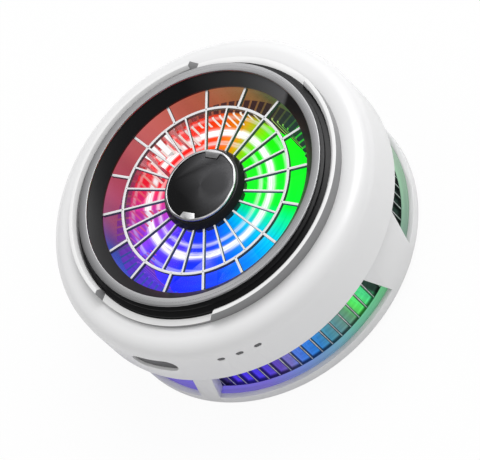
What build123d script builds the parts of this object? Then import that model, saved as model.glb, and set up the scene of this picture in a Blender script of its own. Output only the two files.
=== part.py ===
from build123d import *

import math
import os

# Lengths are in millimetres. The origin is on the fan's axis at the back contact face. +Z points out of
# the fan's mouth and -Y points to the mode button. Angles are in degrees about Z from +X.

# Overall size
total_height = 30.0
body_radius = 34.8
shell_wall = 1.8
rear_setback = 1.35

# Clearances
seat_gap = 0.1
running_gap = 0.03
thread_gap = 0.02
root_depth = 0.1

# Back contact pad and cold plate
pad_thickness = 0.8
pad_margin = 1.5
cold_plate_thickness = 1.9
cold_plate_bevel = 0.3

# Rear shell
floor_thickness = 2.0
lip_width = 1.1
lip_height = 2.6
pillar_depth = 2.55
groove_height = 0.8
pillar_bevel_height = 1.3
tongue_height = 2.5
bottom_round = 0.5

# Side windows, as angles about Z of both ends at the lower and the upper edge
WINDOWS = (
    {"lower": (-82.0, -8.5), "upper": (-76.0, -14.0)},
    {"lower": (8.5, 82.0), "upper": (14.0, 76.0)},
    {"lower": (98.0, 171.5), "upper": (104.0, 166.0)},
    {"lower": (-171.5, -89.5), "upper": (-166.0, -83.5)},
)

# Case screws stand in the three wide pillars
CASE_SCREW_ANGLES = (0, 90, 180)
case_screw_inset = 3.6
case_boss_radius = 2.2
case_post_radius = 2.0
case_screw_radius = 0.8
case_screw_grip = 8.4
case_screw_bite = 5.6
case_screw_spare = 0.5
case_head_radius = 1.5
case_head_height = 1.2

# Front shell
crown_drop = 3.7
skirt_drop = 11.6
shoulder_radius = 3.4
skirt_bevel = 0.25
crown_width = 7.2

# Stepped collar on the crown
collar_width = 1.4
collar_ledge_height = 0.85
collar_arc_height = 2.55
collar_lead = 0.65
collar_edge_bevel = 0.12
cutout_width = 25.6
cutout_ramp = 1.0

# Bezel
trim_width = 1.75
trim_overhang = 0.25
trim_thickness = 0.5
trim_bevel = 0.1
bezel_width = 5.3
throat_height = 0.5
funnel_spread = 2.2
funnel_depth = 2.4
bezel_neck_height = 0.3
bezel_bead_width = 0.7
bezel_bead_slope = 0.3
bezel_bead_height = 0.4
bezel_groove_depth = 0.2
bezel_groove_height = 0.3
bezel_flare_height = 0.5
bezel_skirt_width = 1.1
bezel_flange_width = 1.5
bezel_flange_thickness = 0.9

# Wire guard
guard_ring_share = 0.807
guard_ring_width = 0.6
guard_thickness = 0.8
guard_rim_width = 1.6
inner_spoke_width = 0.42
outer_spoke_width = 0.56
guard_core_width = 1.0
INNER_SPOKES = 24
OUTER_SPOKES = 16
INNER_SPOKE_START = 7.5

# Hub on the guard
hub_base_radius = 8.75
hub_plate_height = 1.4
hub_taper = 0.75
hub_skirt_drop = 0.4
hub_skirt_width = 0.4
hub_notch_gap = 0.1
hub_rim_step = 0.3
hub_rim_width = 0.5
hub_rim_thickness = 0.55
hub_cap_thickness = 0.42
hub_tab_depth = 1.15
hub_tab_width = 3.7
hub_tab_taper = 0.5
hub_boss_radius = 3.0
hub_screw_radius = 1.0
hub_screw_length = 2.0
hub_screw_head_radius = 1.9
hub_screw_head_height = 0.5
hub_clamp_thickness = 0.5
HUB_TAB_ANGLES = (-90, 90)

# Light ring, its lamps and their board
light_ring_height = 4.9
light_ring_lip_width = 1.5
light_ring_shelf_drop = 1.0
lamp_board_thickness = 1.0
colour_lamp_width = 1.7
colour_lamp_depth = 1.3
colour_lamp_height = 0.7
COLOUR_LAMPS = 24

# Heatsink
flange_thickness = 0.7
base_wall_width = 2.0
raised_base_height = 1.5
fin_thickness = 0.45
fin_shoulder_rise = 0.5
fin_shoulder_slope = 1.3
boss_clearance = 0.4
FINS = 80
FINS_PER_BOSS = 3

# Thermoelectric module
module_corner_gap = 1.44
module_gap = 0.15
ceramic_thickness = 0.7
pellet_width = 1.3
pellet_margin = 0.9
pellet_height = 1.6
frame_lip_width = 0.4
PELLETS_PER_SIDE = 8

# Magnet ring
magnet_setback = 3.0
magnet_width = 4.7
magnet_thickness = 1.0
backing_thickness = 0.35
magnet_spacing = 0.3
MAGNETS = 18

# Motor
motor_seat_radius = 9.2
motor_seat_thickness = 1.0
bearing_tube_wall = 0.65
bearing_tube_gap = 1.1
bearing_wall = 1.2
bearing_setback = 0.4
shaft_radius = 1.0
thrust_pad_thickness = 0.4
stator_radius = 7.0
stator_back_width = 1.1
stator_height = 3.4
stator_lift = 2.8
pole_neck_width = 1.5
pole_shoe_width = 5.2
pole_shoe_thickness = 0.8
winding_thickness = 0.65
winding_round = 0.4
motor_board_inner_gap = 0.3
motor_board_width = 3.6
motor_board_thickness = 0.6
air_gap = 0.4
motor_screw_inset = 1.1
motor_screw_radius = 0.5
motor_screw_bite = 1.0
motor_head_radius = 0.9
motor_head_height = 0.5
STATOR_POLES = 6
MOTOR_SCREWS = 3

# Fan wheel
wheel_hub_wall = 0.9
wheel_guard_gap = 5.4
wheel_floor_gap = 2.6
wheel_top_round = 0.7
wheel_boss_radius = 2.4
wheel_boss_length = 3.0
rotor_magnet_width = 0.9
rotor_magnet_height = 5.2
rotor_magnet_lift = 0.9
rotor_yoke_width = 0.55
rotor_yoke_lift = 2.8
blade_tip_radius = 18.9
blade_tip_gap = 0.6
blade_thickness = 1.2
blade_lift = 0.3
blade_drop = 0.1
BLADES = 11
BLADE_SPAN = 62
BLADE_SECTIONS = 7

# Main board
board_post_length = 4.48
board_post_radius = 1.2
board_post_inset = 2.4
main_board_thickness = 1.0
board_inner_gap = 0.3
board_outer_gap = 0.4
board_screw_radius = 0.5
board_screw_bite = 2.0
board_head_radius = 0.95
board_head_height = 0.6
BOARD_ANGLES = (-154, -31)
BOARD_SCREW_ANGLES = (-148, -76, -38)

# Cable inlet
port_width = 8.94
port_height = 3.26
port_metal = 0.3
port_length = 7.3
port_setback = 0.6
port_recess_margin = 0.55
port_recess_depth = 0.8
port_tongue_width = 6.6
port_tongue_thickness = 0.7
port_tongue_setback = 1.2
port_block_length = 2.4
PORT_ANGLE = -122

# Mode button and its switch
button_width = 10.0
button_tall = 4.0
button_setback = 0.5
button_margin = 0.15
button_lip = 0.2
button_flange_margin = 0.6
button_flange_thickness = 0.7
button_travel = 0.4
button_stem_width = 3.0
button_stem_tall = 1.4
switch_width = 6.0
switch_depth = 3.0
switch_height = 2.1
plunger_width = 1.8
plunger_tall = 1.1
plunger_length = 1.3
plunger_gap = 0.12
button_notch_margin = 0.4
BUTTON_ANGLE = -90

# Level lamps and their lenses
level_lens_width = 1.5
level_lens_tall = 0.95
level_lens_setback = 0.1
level_lens_collar = 0.3
level_lens_length = 0.6
level_lens_lift = 1.78
level_chip_width = 1.6
level_chip_depth = 1.1
level_chip_height = 2.2
LEVEL_LAMP_ANGLES = (-52.1, -58.6, -65.1)

# Small parts on the main board
parts_inset = 5.0
chip_width = 3.0
chip_height = 0.9
choke_width = 3.2
choke_height = 2.2
capacitor_radius = 1.1
capacitor_height = 2.0
CHIP_ANGLE = -103
CHOKE_ANGLE = -138
CAPACITOR_ANGLES = (-45, -68)

# Cross recess in every screw head
drive_length_share = 0.6
drive_width_share = 0.2
drive_depth_share = 0.5

# Radii that follow from the sizes above
rear_radius = body_radius - rear_setback
shell_inner_radius = body_radius - shell_wall
shoulder_centre = body_radius - shoulder_radius
tongue_radius = shell_inner_radius - seat_gap
pillar_inner_radius = rear_radius - pillar_depth
case_screw_circle = body_radius - case_screw_inset
mouth_radius = body_radius - crown_width
throat_radius = mouth_radius - bezel_width
guard_ring_radius = throat_radius * guard_ring_share
collar_inner_radius = mouth_radius + seat_gap
bezel_wall_radius = mouth_radius - seat_gap
skirt_inner_radius = bezel_wall_radius - bezel_skirt_width
trim_inner_radius = throat_radius + funnel_spread
trim_outer_radius = trim_inner_radius + trim_width
neck_radius = trim_outer_radius - trim_overhang
light_ring_inner_radius = throat_radius + seat_gap
light_ring_outer_radius = skirt_inner_radius - seat_gap
fin_inner_radius = blade_tip_radius + blade_tip_gap
fin_tip_radius = pillar_inner_radius - seat_gap
base_radius = fin_inner_radius + root_depth
base_step_radius = base_radius - base_wall_width
cold_plate_radius = base_step_radius - frame_lip_width - 2 * seat_gap
module_width = (cold_plate_radius - module_corner_gap) * math.sqrt(2)
pellet_pitch = (module_width - 2 * pellet_margin - pellet_width) / (PELLETS_PER_SIDE - 1)
magnet_outer_radius = pillar_inner_radius - magnet_setback
magnet_inner_radius = magnet_outer_radius - magnet_width
short_fin_radius = case_screw_circle - case_boss_radius - boss_clearance
board_screw_circle = shell_inner_radius - board_post_inset
parts_circle = body_radius - parts_inset - seat_gap
hub_top_radius = hub_base_radius - hub_taper
hub_rim_radius = hub_top_radius - hub_rim_step
hub_cap_radius = hub_rim_radius - hub_rim_width - seat_gap
guard_core_radius = hub_base_radius - hub_skirt_width - seat_gap
bearing_radius = shaft_radius + running_gap + bearing_wall
bearing_tube_radius = bearing_radius + thread_gap + bearing_tube_wall
rotor_magnet_radius = stator_radius + air_gap + rotor_magnet_width
rotor_yoke_radius = rotor_magnet_radius + thread_gap + rotor_yoke_width
wheel_cup_radius = rotor_yoke_radius + thread_gap
wheel_hub_radius = wheel_cup_radius + wheel_hub_wall

# Heights that follow from the sizes above
floor_bottom = pad_thickness
floor_top = floor_bottom + floor_thickness
crown_height = total_height - crown_drop
crown_underside = crown_height - shell_wall
skirt_edge = crown_height - skirt_drop
tongue_top = skirt_edge + tongue_height
window_bottom = floor_bottom + lip_height
flange_top = floor_top + flange_thickness
module_bottom = cold_plate_thickness
pellet_bottom = module_bottom + ceramic_thickness
module_top = pellet_bottom + pellet_height + ceramic_thickness
base_top = module_top + raised_base_height
bezel_top = total_height - trim_thickness
bezel_bottom = bezel_top - funnel_depth
guard_bottom = bezel_bottom - guard_thickness
hub_top = bezel_bottom + hub_plate_height
light_ring_shelf = guard_bottom - light_ring_shelf_drop
fin_top = guard_bottom - light_ring_height
fin_shoulder_top = skirt_edge + fin_shoulder_rise
seat_top = base_top + motor_seat_thickness
thrust_top = seat_top + thrust_pad_thickness
stator_bottom = seat_top + stator_lift
wheel_bottom = base_top + wheel_floor_gap
wheel_top = guard_bottom - wheel_guard_gap
wheel_ceiling = wheel_top - wheel_hub_wall
wheel_boss_bottom = wheel_ceiling - wheel_boss_length
bearing_tube_top = wheel_boss_bottom - bearing_tube_gap
board_top = crown_underside - board_post_length
board_bottom = board_top - main_board_thickness
port_middle = board_top + port_height / 2
button_middle = board_top + switch_height / 2
level_lens_middle = board_top + level_lens_lift

# Where the button's flange and the switch stand
button_flange_width = button_width + 2 * button_flange_margin
button_flange_tall = button_tall + 2 * button_flange_margin
button_flange_face = math.sqrt(shell_inner_radius**2 - (button_flange_width / 2) ** 2) - seat_gap
button_flange_back = button_flange_face - button_flange_thickness
plunger_face = button_flange_back - button_travel - seat_gap
switch_face = plunger_face - button_travel - seat_gap
switch_back = switch_face - switch_depth


def ring(outer, inner, bottom, top):
    """A plain ring about Z."""
    return Pos(0, 0, bottom) * extrude(Circle(outer) - Circle(inner), top - bottom)


def disc(radius, bottom, top):
    """A plain disc about Z."""
    return Pos(0, 0, bottom) * extrude(Circle(radius), top - bottom)


def turned(points):
    """The solid that a closed outline of (radius, height) points sweeps about Z."""
    return revolve(Plane.XZ * make_face(Polyline(*points, close=True)), Axis.Z)


def rod(angle, circle, radius, bottom, top):
    """An upright rod at an angle about Z."""
    return Rot(0, 0, angle) * Pos(circle, 0, 0) * disc(radius, bottom, top)


def facing_out(angle, radius, height):
    """A plane that faces away from the axis, with its own Y up."""
    turn = math.radians(angle)
    origin = (radius * math.cos(turn), radius * math.sin(turn), height)
    return Plane(
        origin=origin,
        x_dir=(-math.sin(turn), math.cos(turn), 0),
        z_dir=(math.cos(turn), math.sin(turn), 0),
    )


def outward_slot(angle, height, width, tall, start, end):
    """A bar with round ends that runs outward from one radius to another."""
    return extrude(facing_out(angle, start, height) * SlotOverall(width, tall), end - start)


def outward_block(angle, height, width, tall, start, end):
    """A square bar that runs outward from one radius to another."""
    return extrude(facing_out(angle, start, height) * Rectangle(width, tall), end - start)


def around(shape, count, start=0):
    """Copies of a shape at equal steps about Z."""
    return [Rot(0, 0, start + 360 * step / count) * shape for step in range(count)]


def group(pieces):
    """Separate solids that make up one named piece."""
    return Compound([solid for piece in pieces for solid in piece.solids()])


def half_space(angle, lean, height):
    """A block on the side of growing angles of a leaning plane through the axis."""
    size = 4 * body_radius
    block = Pos(0, size / 2, 0) * Box(size, size, size)
    return Pos(0, 0, height) * Rot(0, 0, angle) * Rot(-lean, 0, 0) * block


def window_span(window, margin):
    """The wedge of one side window with leaning ends, pulled in at both ends by a margin."""
    opening = skirt_edge - window_bottom
    middle = (skirt_edge + window_bottom) / 2
    inset = math.degrees(margin / rear_radius)
    sides = []
    for lower, upper in zip(window["lower"], window["upper"]):
        shift = rear_radius * math.radians(upper - lower)
        sides.append(((lower + upper) / 2, math.degrees(math.atan2(shift, opening))))
    (first, first_lean), (last, last_lean) = sides
    return half_space(first + inset, first_lean, middle) - half_space(last - inset, last_lean, middle)


def screw(head_radius, head_height, shank_radius, shank_length):
    """A screw that points up, with the seat of its head at height zero and a cross in its head."""
    body = disc(head_radius, -head_height, 0) + disc(shank_radius, -root_depth, shank_length)
    length = 2 * head_radius * drive_length_share
    width = 2 * head_radius * drive_width_share
    depth = 2 * head_height * drive_depth_share
    blade = Pos(0, 0, -head_height) * Box(length, width, depth)
    return body - blade - Rot(0, 0, 90) * blade


def rear_shell():
    """White back ring: floor, lip, window pillars, joining tongue and screw bosses."""
    bevel_top = skirt_edge - groove_height
    shell = turned(
        [
            (cold_plate_radius + seat_gap, floor_bottom),
            (rear_radius - bottom_round, floor_bottom),
            (rear_radius, floor_bottom + bottom_round),
            (rear_radius, bevel_top - pillar_bevel_height),
            (tongue_radius, bevel_top),
            (tongue_radius, tongue_top),
            (pillar_inner_radius, tongue_top),
            (pillar_inner_radius, floor_top),
            (cold_plate_radius + seat_gap, floor_top),
        ]
    )
    bosses = [
        rod(angle, case_screw_circle, case_boss_radius, floor_bottom, tongue_top)
        for angle in CASE_SCREW_ANGLES
    ]
    shell += (Part() + bosses) & disc(tongue_radius, floor_bottom, tongue_top)
    window_band = ring(2 * body_radius, short_fin_radius, window_bottom, skirt_edge)
    ledge_band = ring(rear_radius - lip_width, short_fin_radius, floor_top, window_bottom)
    for window in WINDOWS:
        shell -= window_span(window, 0) & (window_band + ledge_band)
    magnet_room = ring(
        magnet_outer_radius + seat_gap,
        magnet_inner_radius - seat_gap,
        floor_bottom,
        floor_bottom + magnet_thickness + backing_thickness,
    )
    shell -= magnet_room
    head_seat = tongue_top - case_screw_grip
    for angle in CASE_SCREW_ANGLES:
        shell -= rod(angle, case_screw_circle, case_head_radius + seat_gap, floor_bottom, head_seat)
        shell -= rod(angle, case_screw_circle, case_screw_radius + seat_gap, head_seat, tongue_top)
    return shell


def front_shell():
    """White dome with its mouth, screw posts, board posts and the openings in its side."""
    arc_height = crown_height - shoulder_radius
    centre = (shoulder_centre, arc_height)
    outside = Polyline(
        (body_radius, arc_height),
        (body_radius, skirt_edge + skirt_bevel),
        (body_radius - skirt_bevel, skirt_edge),
        (shell_inner_radius, skirt_edge),
        (shell_inner_radius, arc_height),
    )
    mouth = Polyline(
        (shoulder_centre, crown_underside),
        (mouth_radius, crown_underside),
        (mouth_radius, crown_height),
        (shoulder_centre, crown_height),
    )
    outer_arc = CenterArc(centre, shoulder_radius, 0, 90)
    inner_arc = CenterArc(centre, shoulder_radius - shell_wall, 0, 90)
    shell = revolve(Plane.XZ * make_face(outside + mouth + outer_arc + inner_arc), Axis.Z)
    post_top = crown_underside + root_depth
    posts = [
        rod(angle, case_screw_circle, case_post_radius, tongue_top, post_top)
        for angle in CASE_SCREW_ANGLES
    ]
    posts += [
        rod(angle, board_screw_circle, board_post_radius, board_top, post_top)
        for angle in BOARD_SCREW_ANGLES
    ]
    shell += posts
    reach = 2 * body_radius
    shell -= outward_slot(
        BUTTON_ANGLE,
        button_middle,
        button_width + 2 * button_margin,
        button_tall + 2 * button_margin,
        button_flange_back,
        reach,
    )
    lip = [
        edge
        for edge in shell.edges()
        if edge.center().Y < -body_radius + 2 * button_setback
        and abs(edge.center().Z - button_middle) < button_tall
        and abs(edge.center().X) < button_width
        and math.hypot(edge.center().X, edge.center().Y) > body_radius - button_setback
    ]
    shell = chamfer(lip, button_lip)
    shell -= outward_slot(
        PORT_ANGLE,
        port_middle,
        port_width + 2 * seat_gap,
        port_height + 2 * seat_gap,
        board_screw_circle,
        reach,
    )
    shell -= outward_slot(
        PORT_ANGLE,
        port_middle,
        port_width + 2 * port_recess_margin,
        port_height + 2 * port_recess_margin,
        body_radius - port_recess_depth,
        reach,
    )
    for angle in LEVEL_LAMP_ANGLES:
        shell -= outward_slot(
            angle,
            level_lens_middle,
            level_lens_width + seat_gap,
            level_lens_tall + seat_gap,
            board_screw_circle,
            reach,
        )
    for angle in CASE_SCREW_ANGLES:
        pilot_top = tongue_top + case_screw_bite + case_screw_spare
        shell -= rod(angle, case_screw_circle, case_screw_radius + thread_gap, tongue_top, pilot_top)
    for angle in BOARD_SCREW_ANGLES:
        pilot_top = board_top + board_screw_bite + case_screw_spare
        shell -= rod(angle, board_screw_circle, board_screw_radius + thread_gap, board_top, pilot_top)
    return shell


def collar():
    """Ring on the crown with two raised arcs and a low ledge at the front and the back."""
    outer = collar_inner_radius + collar_width
    top = crown_height + collar_arc_height
    ledge = crown_height + collar_ledge_height
    body = turned(
        [
            (collar_inner_radius, crown_height),
            (outer, crown_height),
            (outer, top - collar_edge_bevel),
            (outer - collar_edge_bevel, top),
            (collar_inner_radius + collar_lead, top),
            (collar_inner_radius, top - collar_lead),
        ]
    )
    flat_half = cutout_width / 2
    open_half = flat_half + cutout_ramp
    opening = Polyline(
        (-flat_half, ledge),
        (flat_half, ledge),
        (open_half, top),
        (open_half, total_height),
        (-open_half, total_height),
        (-open_half, top),
        close=True,
    )
    cut = extrude(Plane.XZ * make_face(opening), 2 * body_radius, both=True)
    return body - cut


def bezel():
    """Black ring with the funnel inside, beads outside and a flange under the crown."""
    bead_top = bezel_top - bezel_neck_height
    bead_radius = neck_radius + bezel_bead_width
    bead_bottom = bead_top - bezel_bead_slope - bezel_bead_height
    groove_radius = bead_radius - bezel_groove_depth
    groove_bottom = bead_bottom - bezel_groove_height
    flange_bottom = crown_underside - bezel_flange_thickness
    flange_radius = bezel_wall_radius + bezel_flange_width
    return turned(
        [
            (throat_radius, bezel_bottom),
            (throat_radius, bezel_bottom + throat_height),
            (trim_inner_radius, bezel_top),
            (neck_radius, bezel_top),
            (neck_radius, bead_top),
            (bead_radius, bead_top - bezel_bead_slope),
            (bead_radius, bead_bottom),
            (groove_radius, bead_bottom),
            (groove_radius, groove_bottom),
            (bezel_wall_radius, groove_bottom - bezel_flare_height),
            (bezel_wall_radius, crown_underside),
            (flange_radius, crown_underside),
            (flange_radius, flange_bottom),
            (skirt_inner_radius, flange_bottom),
            (skirt_inner_radius, bezel_bottom),
        ]
    )


def trim():
    """Silver ring on the bezel."""
    return turned(
        [
            (trim_inner_radius, bezel_top),
            (trim_outer_radius - trim_bevel, bezel_top),
            (trim_outer_radius, bezel_top + trim_bevel),
            (trim_outer_radius, total_height - trim_bevel),
            (trim_outer_radius - trim_bevel, total_height),
            (trim_inner_radius + trim_bevel, total_height),
            (trim_inner_radius, total_height - trim_bevel),
        ]
    )


def wire_guard():
    """One round wire, spokes inside it and outside it, a core ring and a clamped rim."""
    top = bezel_bottom
    bottom = guard_bottom
    rim_outer = light_ring_inner_radius + guard_rim_width
    middle = (top + bottom) / 2
    inner_spoke = outward_block(
        0, middle, inner_spoke_width, guard_thickness, guard_core_radius - root_depth, guard_ring_radius
    )
    outer_spoke = outward_block(
        0,
        middle,
        outer_spoke_width,
        guard_thickness,
        guard_ring_radius,
        light_ring_inner_radius + root_depth,
    )
    ring_outer = guard_ring_radius + guard_ring_width / 2
    ring_inner = guard_ring_radius - guard_ring_width / 2
    guard = ring(ring_outer, ring_inner, bottom, top)
    guard += ring(rim_outer, light_ring_inner_radius, bottom, top)
    guard += ring(guard_core_radius, guard_core_radius - guard_core_width, bottom, top)
    guard += around(inner_spoke, INNER_SPOKES, INNER_SPOKE_START)
    guard += around(outer_spoke, OUTER_SPOKES)
    return guard


def hub_housing():
    """Black hub with a skirt notched for the spokes and a boss for its screw."""
    skirt_bottom = guard_bottom - hub_skirt_drop
    skirt_inner = hub_base_radius - hub_skirt_width
    plug_bottom = bezel_bottom
    body = turned(
        [
            (0, plug_bottom),
            (skirt_inner, plug_bottom),
            (skirt_inner, skirt_bottom),
            (hub_base_radius, skirt_bottom),
            (hub_base_radius, plug_bottom),
            (hub_top_radius, hub_top),
            (0, hub_top),
        ]
    )
    notch_width = inner_spoke_width + 2 * hub_notch_gap
    notch_height = bezel_bottom - skirt_bottom
    notch = outward_block(
        0,
        (bezel_bottom + skirt_bottom) / 2,
        notch_width,
        notch_height,
        skirt_inner - root_depth,
        hub_base_radius + root_depth,
    )
    body += disc(hub_boss_radius, guard_bottom, bezel_bottom + root_depth)
    for cut in around(notch, INNER_SPOKES, INNER_SPOKE_START):
        body -= cut
    return body - disc(hub_screw_radius + thread_gap, guard_bottom, guard_bottom + hub_screw_length)


def hub_tabs(margin):
    """The two tabs that reach in from the hub's rim, grown by a margin."""
    start = hub_cap_radius - hub_tab_depth - margin
    end = hub_rim_radius - hub_rim_width / 2
    wide = hub_tab_width / 2 + margin
    narrow = wide - hub_tab_taper
    outline = Polyline((start, -narrow), (end, -wide), (end, wide), (start, narrow), close=True)
    tab = Pos(0, 0, hub_top) * extrude(make_face(outline), hub_rim_thickness)
    return [Rot(0, 0, angle) * tab for angle in HUB_TAB_ANGLES]


def hub_rim():
    """Silver rim of the hub with its two tabs."""
    rim = ring(hub_rim_radius, hub_rim_radius - hub_rim_width, hub_top, hub_top + hub_rim_thickness)
    return rim + hub_tabs(0)


def hub_cap():
    """Round plate inside the hub's rim."""
    plate = disc(hub_cap_radius, hub_top, hub_top + hub_cap_thickness)
    for tab in hub_tabs(seat_gap):
        plate -= tab
    return plate


def hub_clamp():
    """Disc under the guard's core that the hub's screw pulls up."""
    plate = disc(guard_core_radius, guard_bottom - hub_clamp_thickness, guard_bottom)
    return plate - disc(hub_screw_radius + thread_gap, guard_bottom - hub_clamp_thickness, guard_bottom)


def hub_screw():
    """Screw up through the clamp into the hub's boss."""
    length = hub_clamp_thickness + hub_screw_length - seat_gap
    whole = screw(hub_screw_head_radius, hub_screw_head_height, hub_screw_radius, length)
    return Pos(0, 0, guard_bottom - hub_clamp_thickness) * whole


def light_ring():
    """Translucent wall under the funnel with a shelf for the colour lamps."""
    lip = light_ring_inner_radius + light_ring_lip_width
    return turned(
        [
            (light_ring_inner_radius, fin_top),
            (light_ring_outer_radius, fin_top),
            (light_ring_outer_radius, light_ring_shelf),
            (lip, light_ring_shelf),
            (lip, guard_bottom),
            (light_ring_inner_radius, guard_bottom),
        ]
    )


def lamp_board():
    """Ring board under the bezel."""
    inner = light_ring_inner_radius + guard_rim_width + seat_gap
    return ring(light_ring_outer_radius, inner, bezel_bottom - lamp_board_thickness, bezel_bottom)


def colour_lamps():
    """Lamps under the ring board."""
    board_bottom_here = bezel_bottom - lamp_board_thickness
    inner = light_ring_inner_radius + guard_rim_width + seat_gap
    middle = (inner + light_ring_outer_radius) / 2
    height = board_bottom_here - colour_lamp_height / 2
    start = middle - colour_lamp_depth / 2
    end = middle + colour_lamp_depth / 2
    lamp = outward_block(0, height, colour_lamp_width, colour_lamp_height, start, end)
    return group(around(lamp, COLOUR_LAMPS))


def fin(tip):
    """One upright radial fin out to a tip radius."""
    outline = Polyline(
        (fin_inner_radius, flange_top - root_depth),
        (tip, flange_top - root_depth),
        (tip, fin_shoulder_top),
        (light_ring_outer_radius, fin_shoulder_top + fin_shoulder_slope),
        (light_ring_outer_radius, fin_top),
        (fin_inner_radius, fin_top),
        close=True,
    )
    return extrude(Plane.XZ * make_face(outline), fin_thickness / 2, both=True)


def heatsink():
    """Base plate with a raised middle, a thin outer flange and upright radial fins."""
    body = turned(
        [
            (0, module_top),
            (base_step_radius, module_top),
            (base_step_radius, floor_top),
            (fin_tip_radius, floor_top),
            (fin_tip_radius, flange_top),
            (base_radius, flange_top),
            (base_radius, base_top),
            (0, base_top),
        ]
    )
    ledge_radius = rear_radius - lip_width - seat_gap
    ledge = ring(ledge_radius, fin_tip_radius - root_depth, floor_top, flange_top)
    body += [window_span(window, seat_gap) & ledge for window in WINDOWS]
    long_fin = fin(fin_tip_radius)
    short_fin = fin(short_fin_radius)
    step = 360 / FINS
    fins = []
    for index in range(FINS):
        angle = index * step
        apart = [abs((angle - boss + 180) % 360 - 180) for boss in CASE_SCREW_ANGLES]
        near_boss = min(apart) < step * FINS_PER_BOSS / 2
        fins.append(Rot(0, 0, angle) * (short_fin if near_boss else long_fin))
    body += fins
    for angle in CASE_SCREW_ANGLES:
        body -= rod(angle, case_screw_circle, case_boss_radius + seat_gap, floor_top, flange_top)
    circle = motor_seat_radius - motor_screw_inset
    pilot = Pos(circle, 0, 0) * disc(motor_screw_radius + thread_gap, base_top - motor_screw_bite, base_top)
    for cut in around(pilot, MOTOR_SCREWS):
        body -= cut
    return body


def module_plate(bottom):
    """One square ceramic plate of the thermoelectric module."""
    return Pos(0, 0, bottom + ceramic_thickness / 2) * Box(module_width, module_width, ceramic_thickness)


def module_pellets():
    """Square grid of pellets between the two ceramic plates."""
    pellet = Box(pellet_width, pellet_width, pellet_height)
    height = pellet_bottom + pellet_height / 2
    places = GridLocations(pellet_pitch, pellet_pitch, PELLETS_PER_SIDE, PELLETS_PER_SIDE)
    return group([Pos(0, 0, height) * place * pellet for place in places])


def module_frame():
    """Insulating frame round the module, with a lip on the rear shell's floor."""
    body = disc(cold_plate_radius, module_bottom, floor_top)
    body += disc(cold_plate_radius + frame_lip_width, floor_top, module_top)
    width = module_width + 2 * module_gap
    height = module_top - module_bottom
    return body - Pos(0, 0, module_bottom + height / 2) * Box(width, width, height)


def cold_plate():
    """Flat metal plate in the middle of the back."""
    return turned(
        [
            (0, 0),
            (cold_plate_radius - cold_plate_bevel, 0),
            (cold_plate_radius, cold_plate_bevel),
            (cold_plate_radius, cold_plate_thickness),
            (0, cold_plate_thickness),
        ]
    )


def back_pad():
    """Soft ring round the cold plate that covers the magnets."""
    outer = magnet_outer_radius + pad_margin
    return ring(outer, cold_plate_radius + seat_gap, 0, pad_thickness)


def magnets():
    """Arc magnets in a ring."""
    whole = ring(
        magnet_outer_radius,
        magnet_inner_radius,
        floor_bottom,
        floor_bottom + magnet_thickness,
    )
    height = floor_bottom + magnet_thickness / 2
    gap = outward_block(
        0,
        height,
        magnet_spacing,
        magnet_thickness,
        magnet_inner_radius - root_depth,
        magnet_outer_radius + root_depth,
    )
    for cut in around(gap, MAGNETS):
        whole -= cut
    return group([whole])


def magnet_backing():
    """Thin steel ring above the magnets."""
    bottom = floor_bottom + magnet_thickness
    return ring(magnet_outer_radius, magnet_inner_radius, bottom, bottom + backing_thickness)


def motor_seat():
    """Round plate that carries the motor on the heatsink."""
    circle = motor_seat_radius - motor_screw_inset
    plate = disc(motor_seat_radius, base_top, seat_top)
    hole = Pos(circle, 0, 0) * disc(motor_screw_radius + thread_gap, base_top, seat_top)
    for cut in around(hole, MOTOR_SCREWS):
        plate -= cut
    return plate


def motor_screws():
    """Screws that hold the motor seat."""
    circle = motor_seat_radius - motor_screw_inset
    length = motor_seat_thickness + motor_screw_bite - seat_gap
    one = Rot(180, 0, 0) * screw(motor_head_radius, motor_head_height, motor_screw_radius, length)
    return group(around(Pos(circle, 0, seat_top) * one, MOTOR_SCREWS))


def bearing_tube():
    """Brass tube on the motor seat."""
    return ring(bearing_tube_radius, bearing_radius + thread_gap, seat_top, bearing_tube_top)


def sleeve_bearing():
    """Porous sleeve that the shaft runs in."""
    bottom = thrust_top + seat_gap
    return ring(bearing_radius, shaft_radius + running_gap, bottom, bearing_tube_top - bearing_setback)


def thrust_pad():
    """Small pad under the shaft's foot."""
    return disc(bearing_radius, seat_top, thrust_top)


def stator_core():
    """Laminated core with poles."""
    bottom = stator_bottom
    top = stator_bottom + stator_height
    inner = bearing_tube_radius + thread_gap
    back = inner + stator_back_width
    shoe_inner = stator_radius - pole_shoe_thickness
    middle = (bottom + top) / 2
    neck = outward_block(
        0, middle, pole_neck_width, stator_height, back - root_depth, shoe_inner + root_depth
    )
    shoe_room = outward_block(0, middle, pole_shoe_width, stator_height, inner, 2 * stator_radius)
    shoe = shoe_room & ring(stator_radius, shoe_inner, bottom, top)
    core = ring(back, inner, bottom, top)
    core += around(neck, STATOR_POLES)
    core += around(shoe, STATOR_POLES)
    return core


def stator_windings():
    """One wound coil round each pole's neck."""
    back = bearing_tube_radius + thread_gap + stator_back_width
    start = back + seat_gap
    end = stator_radius - pole_shoe_thickness - 2 * seat_gap
    height = stator_bottom + stator_height / 2
    hole_width = pole_neck_width + 2 * thread_gap
    hole_height = stator_height + 2 * thread_gap
    outside = RectangleRounded(
        hole_width + 2 * winding_thickness, hole_height + 2 * winding_thickness, winding_round
    )
    coil = extrude(facing_out(0, start, height) * (outside - Rectangle(hole_width, hole_height)), end - start)
    return group(around(coil, STATOR_POLES))


def motor_board():
    """Ring board on the motor seat."""
    inner = bearing_tube_radius + motor_board_inner_gap
    return ring(inner + motor_board_width, inner, seat_top, seat_top + motor_board_thickness)


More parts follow.
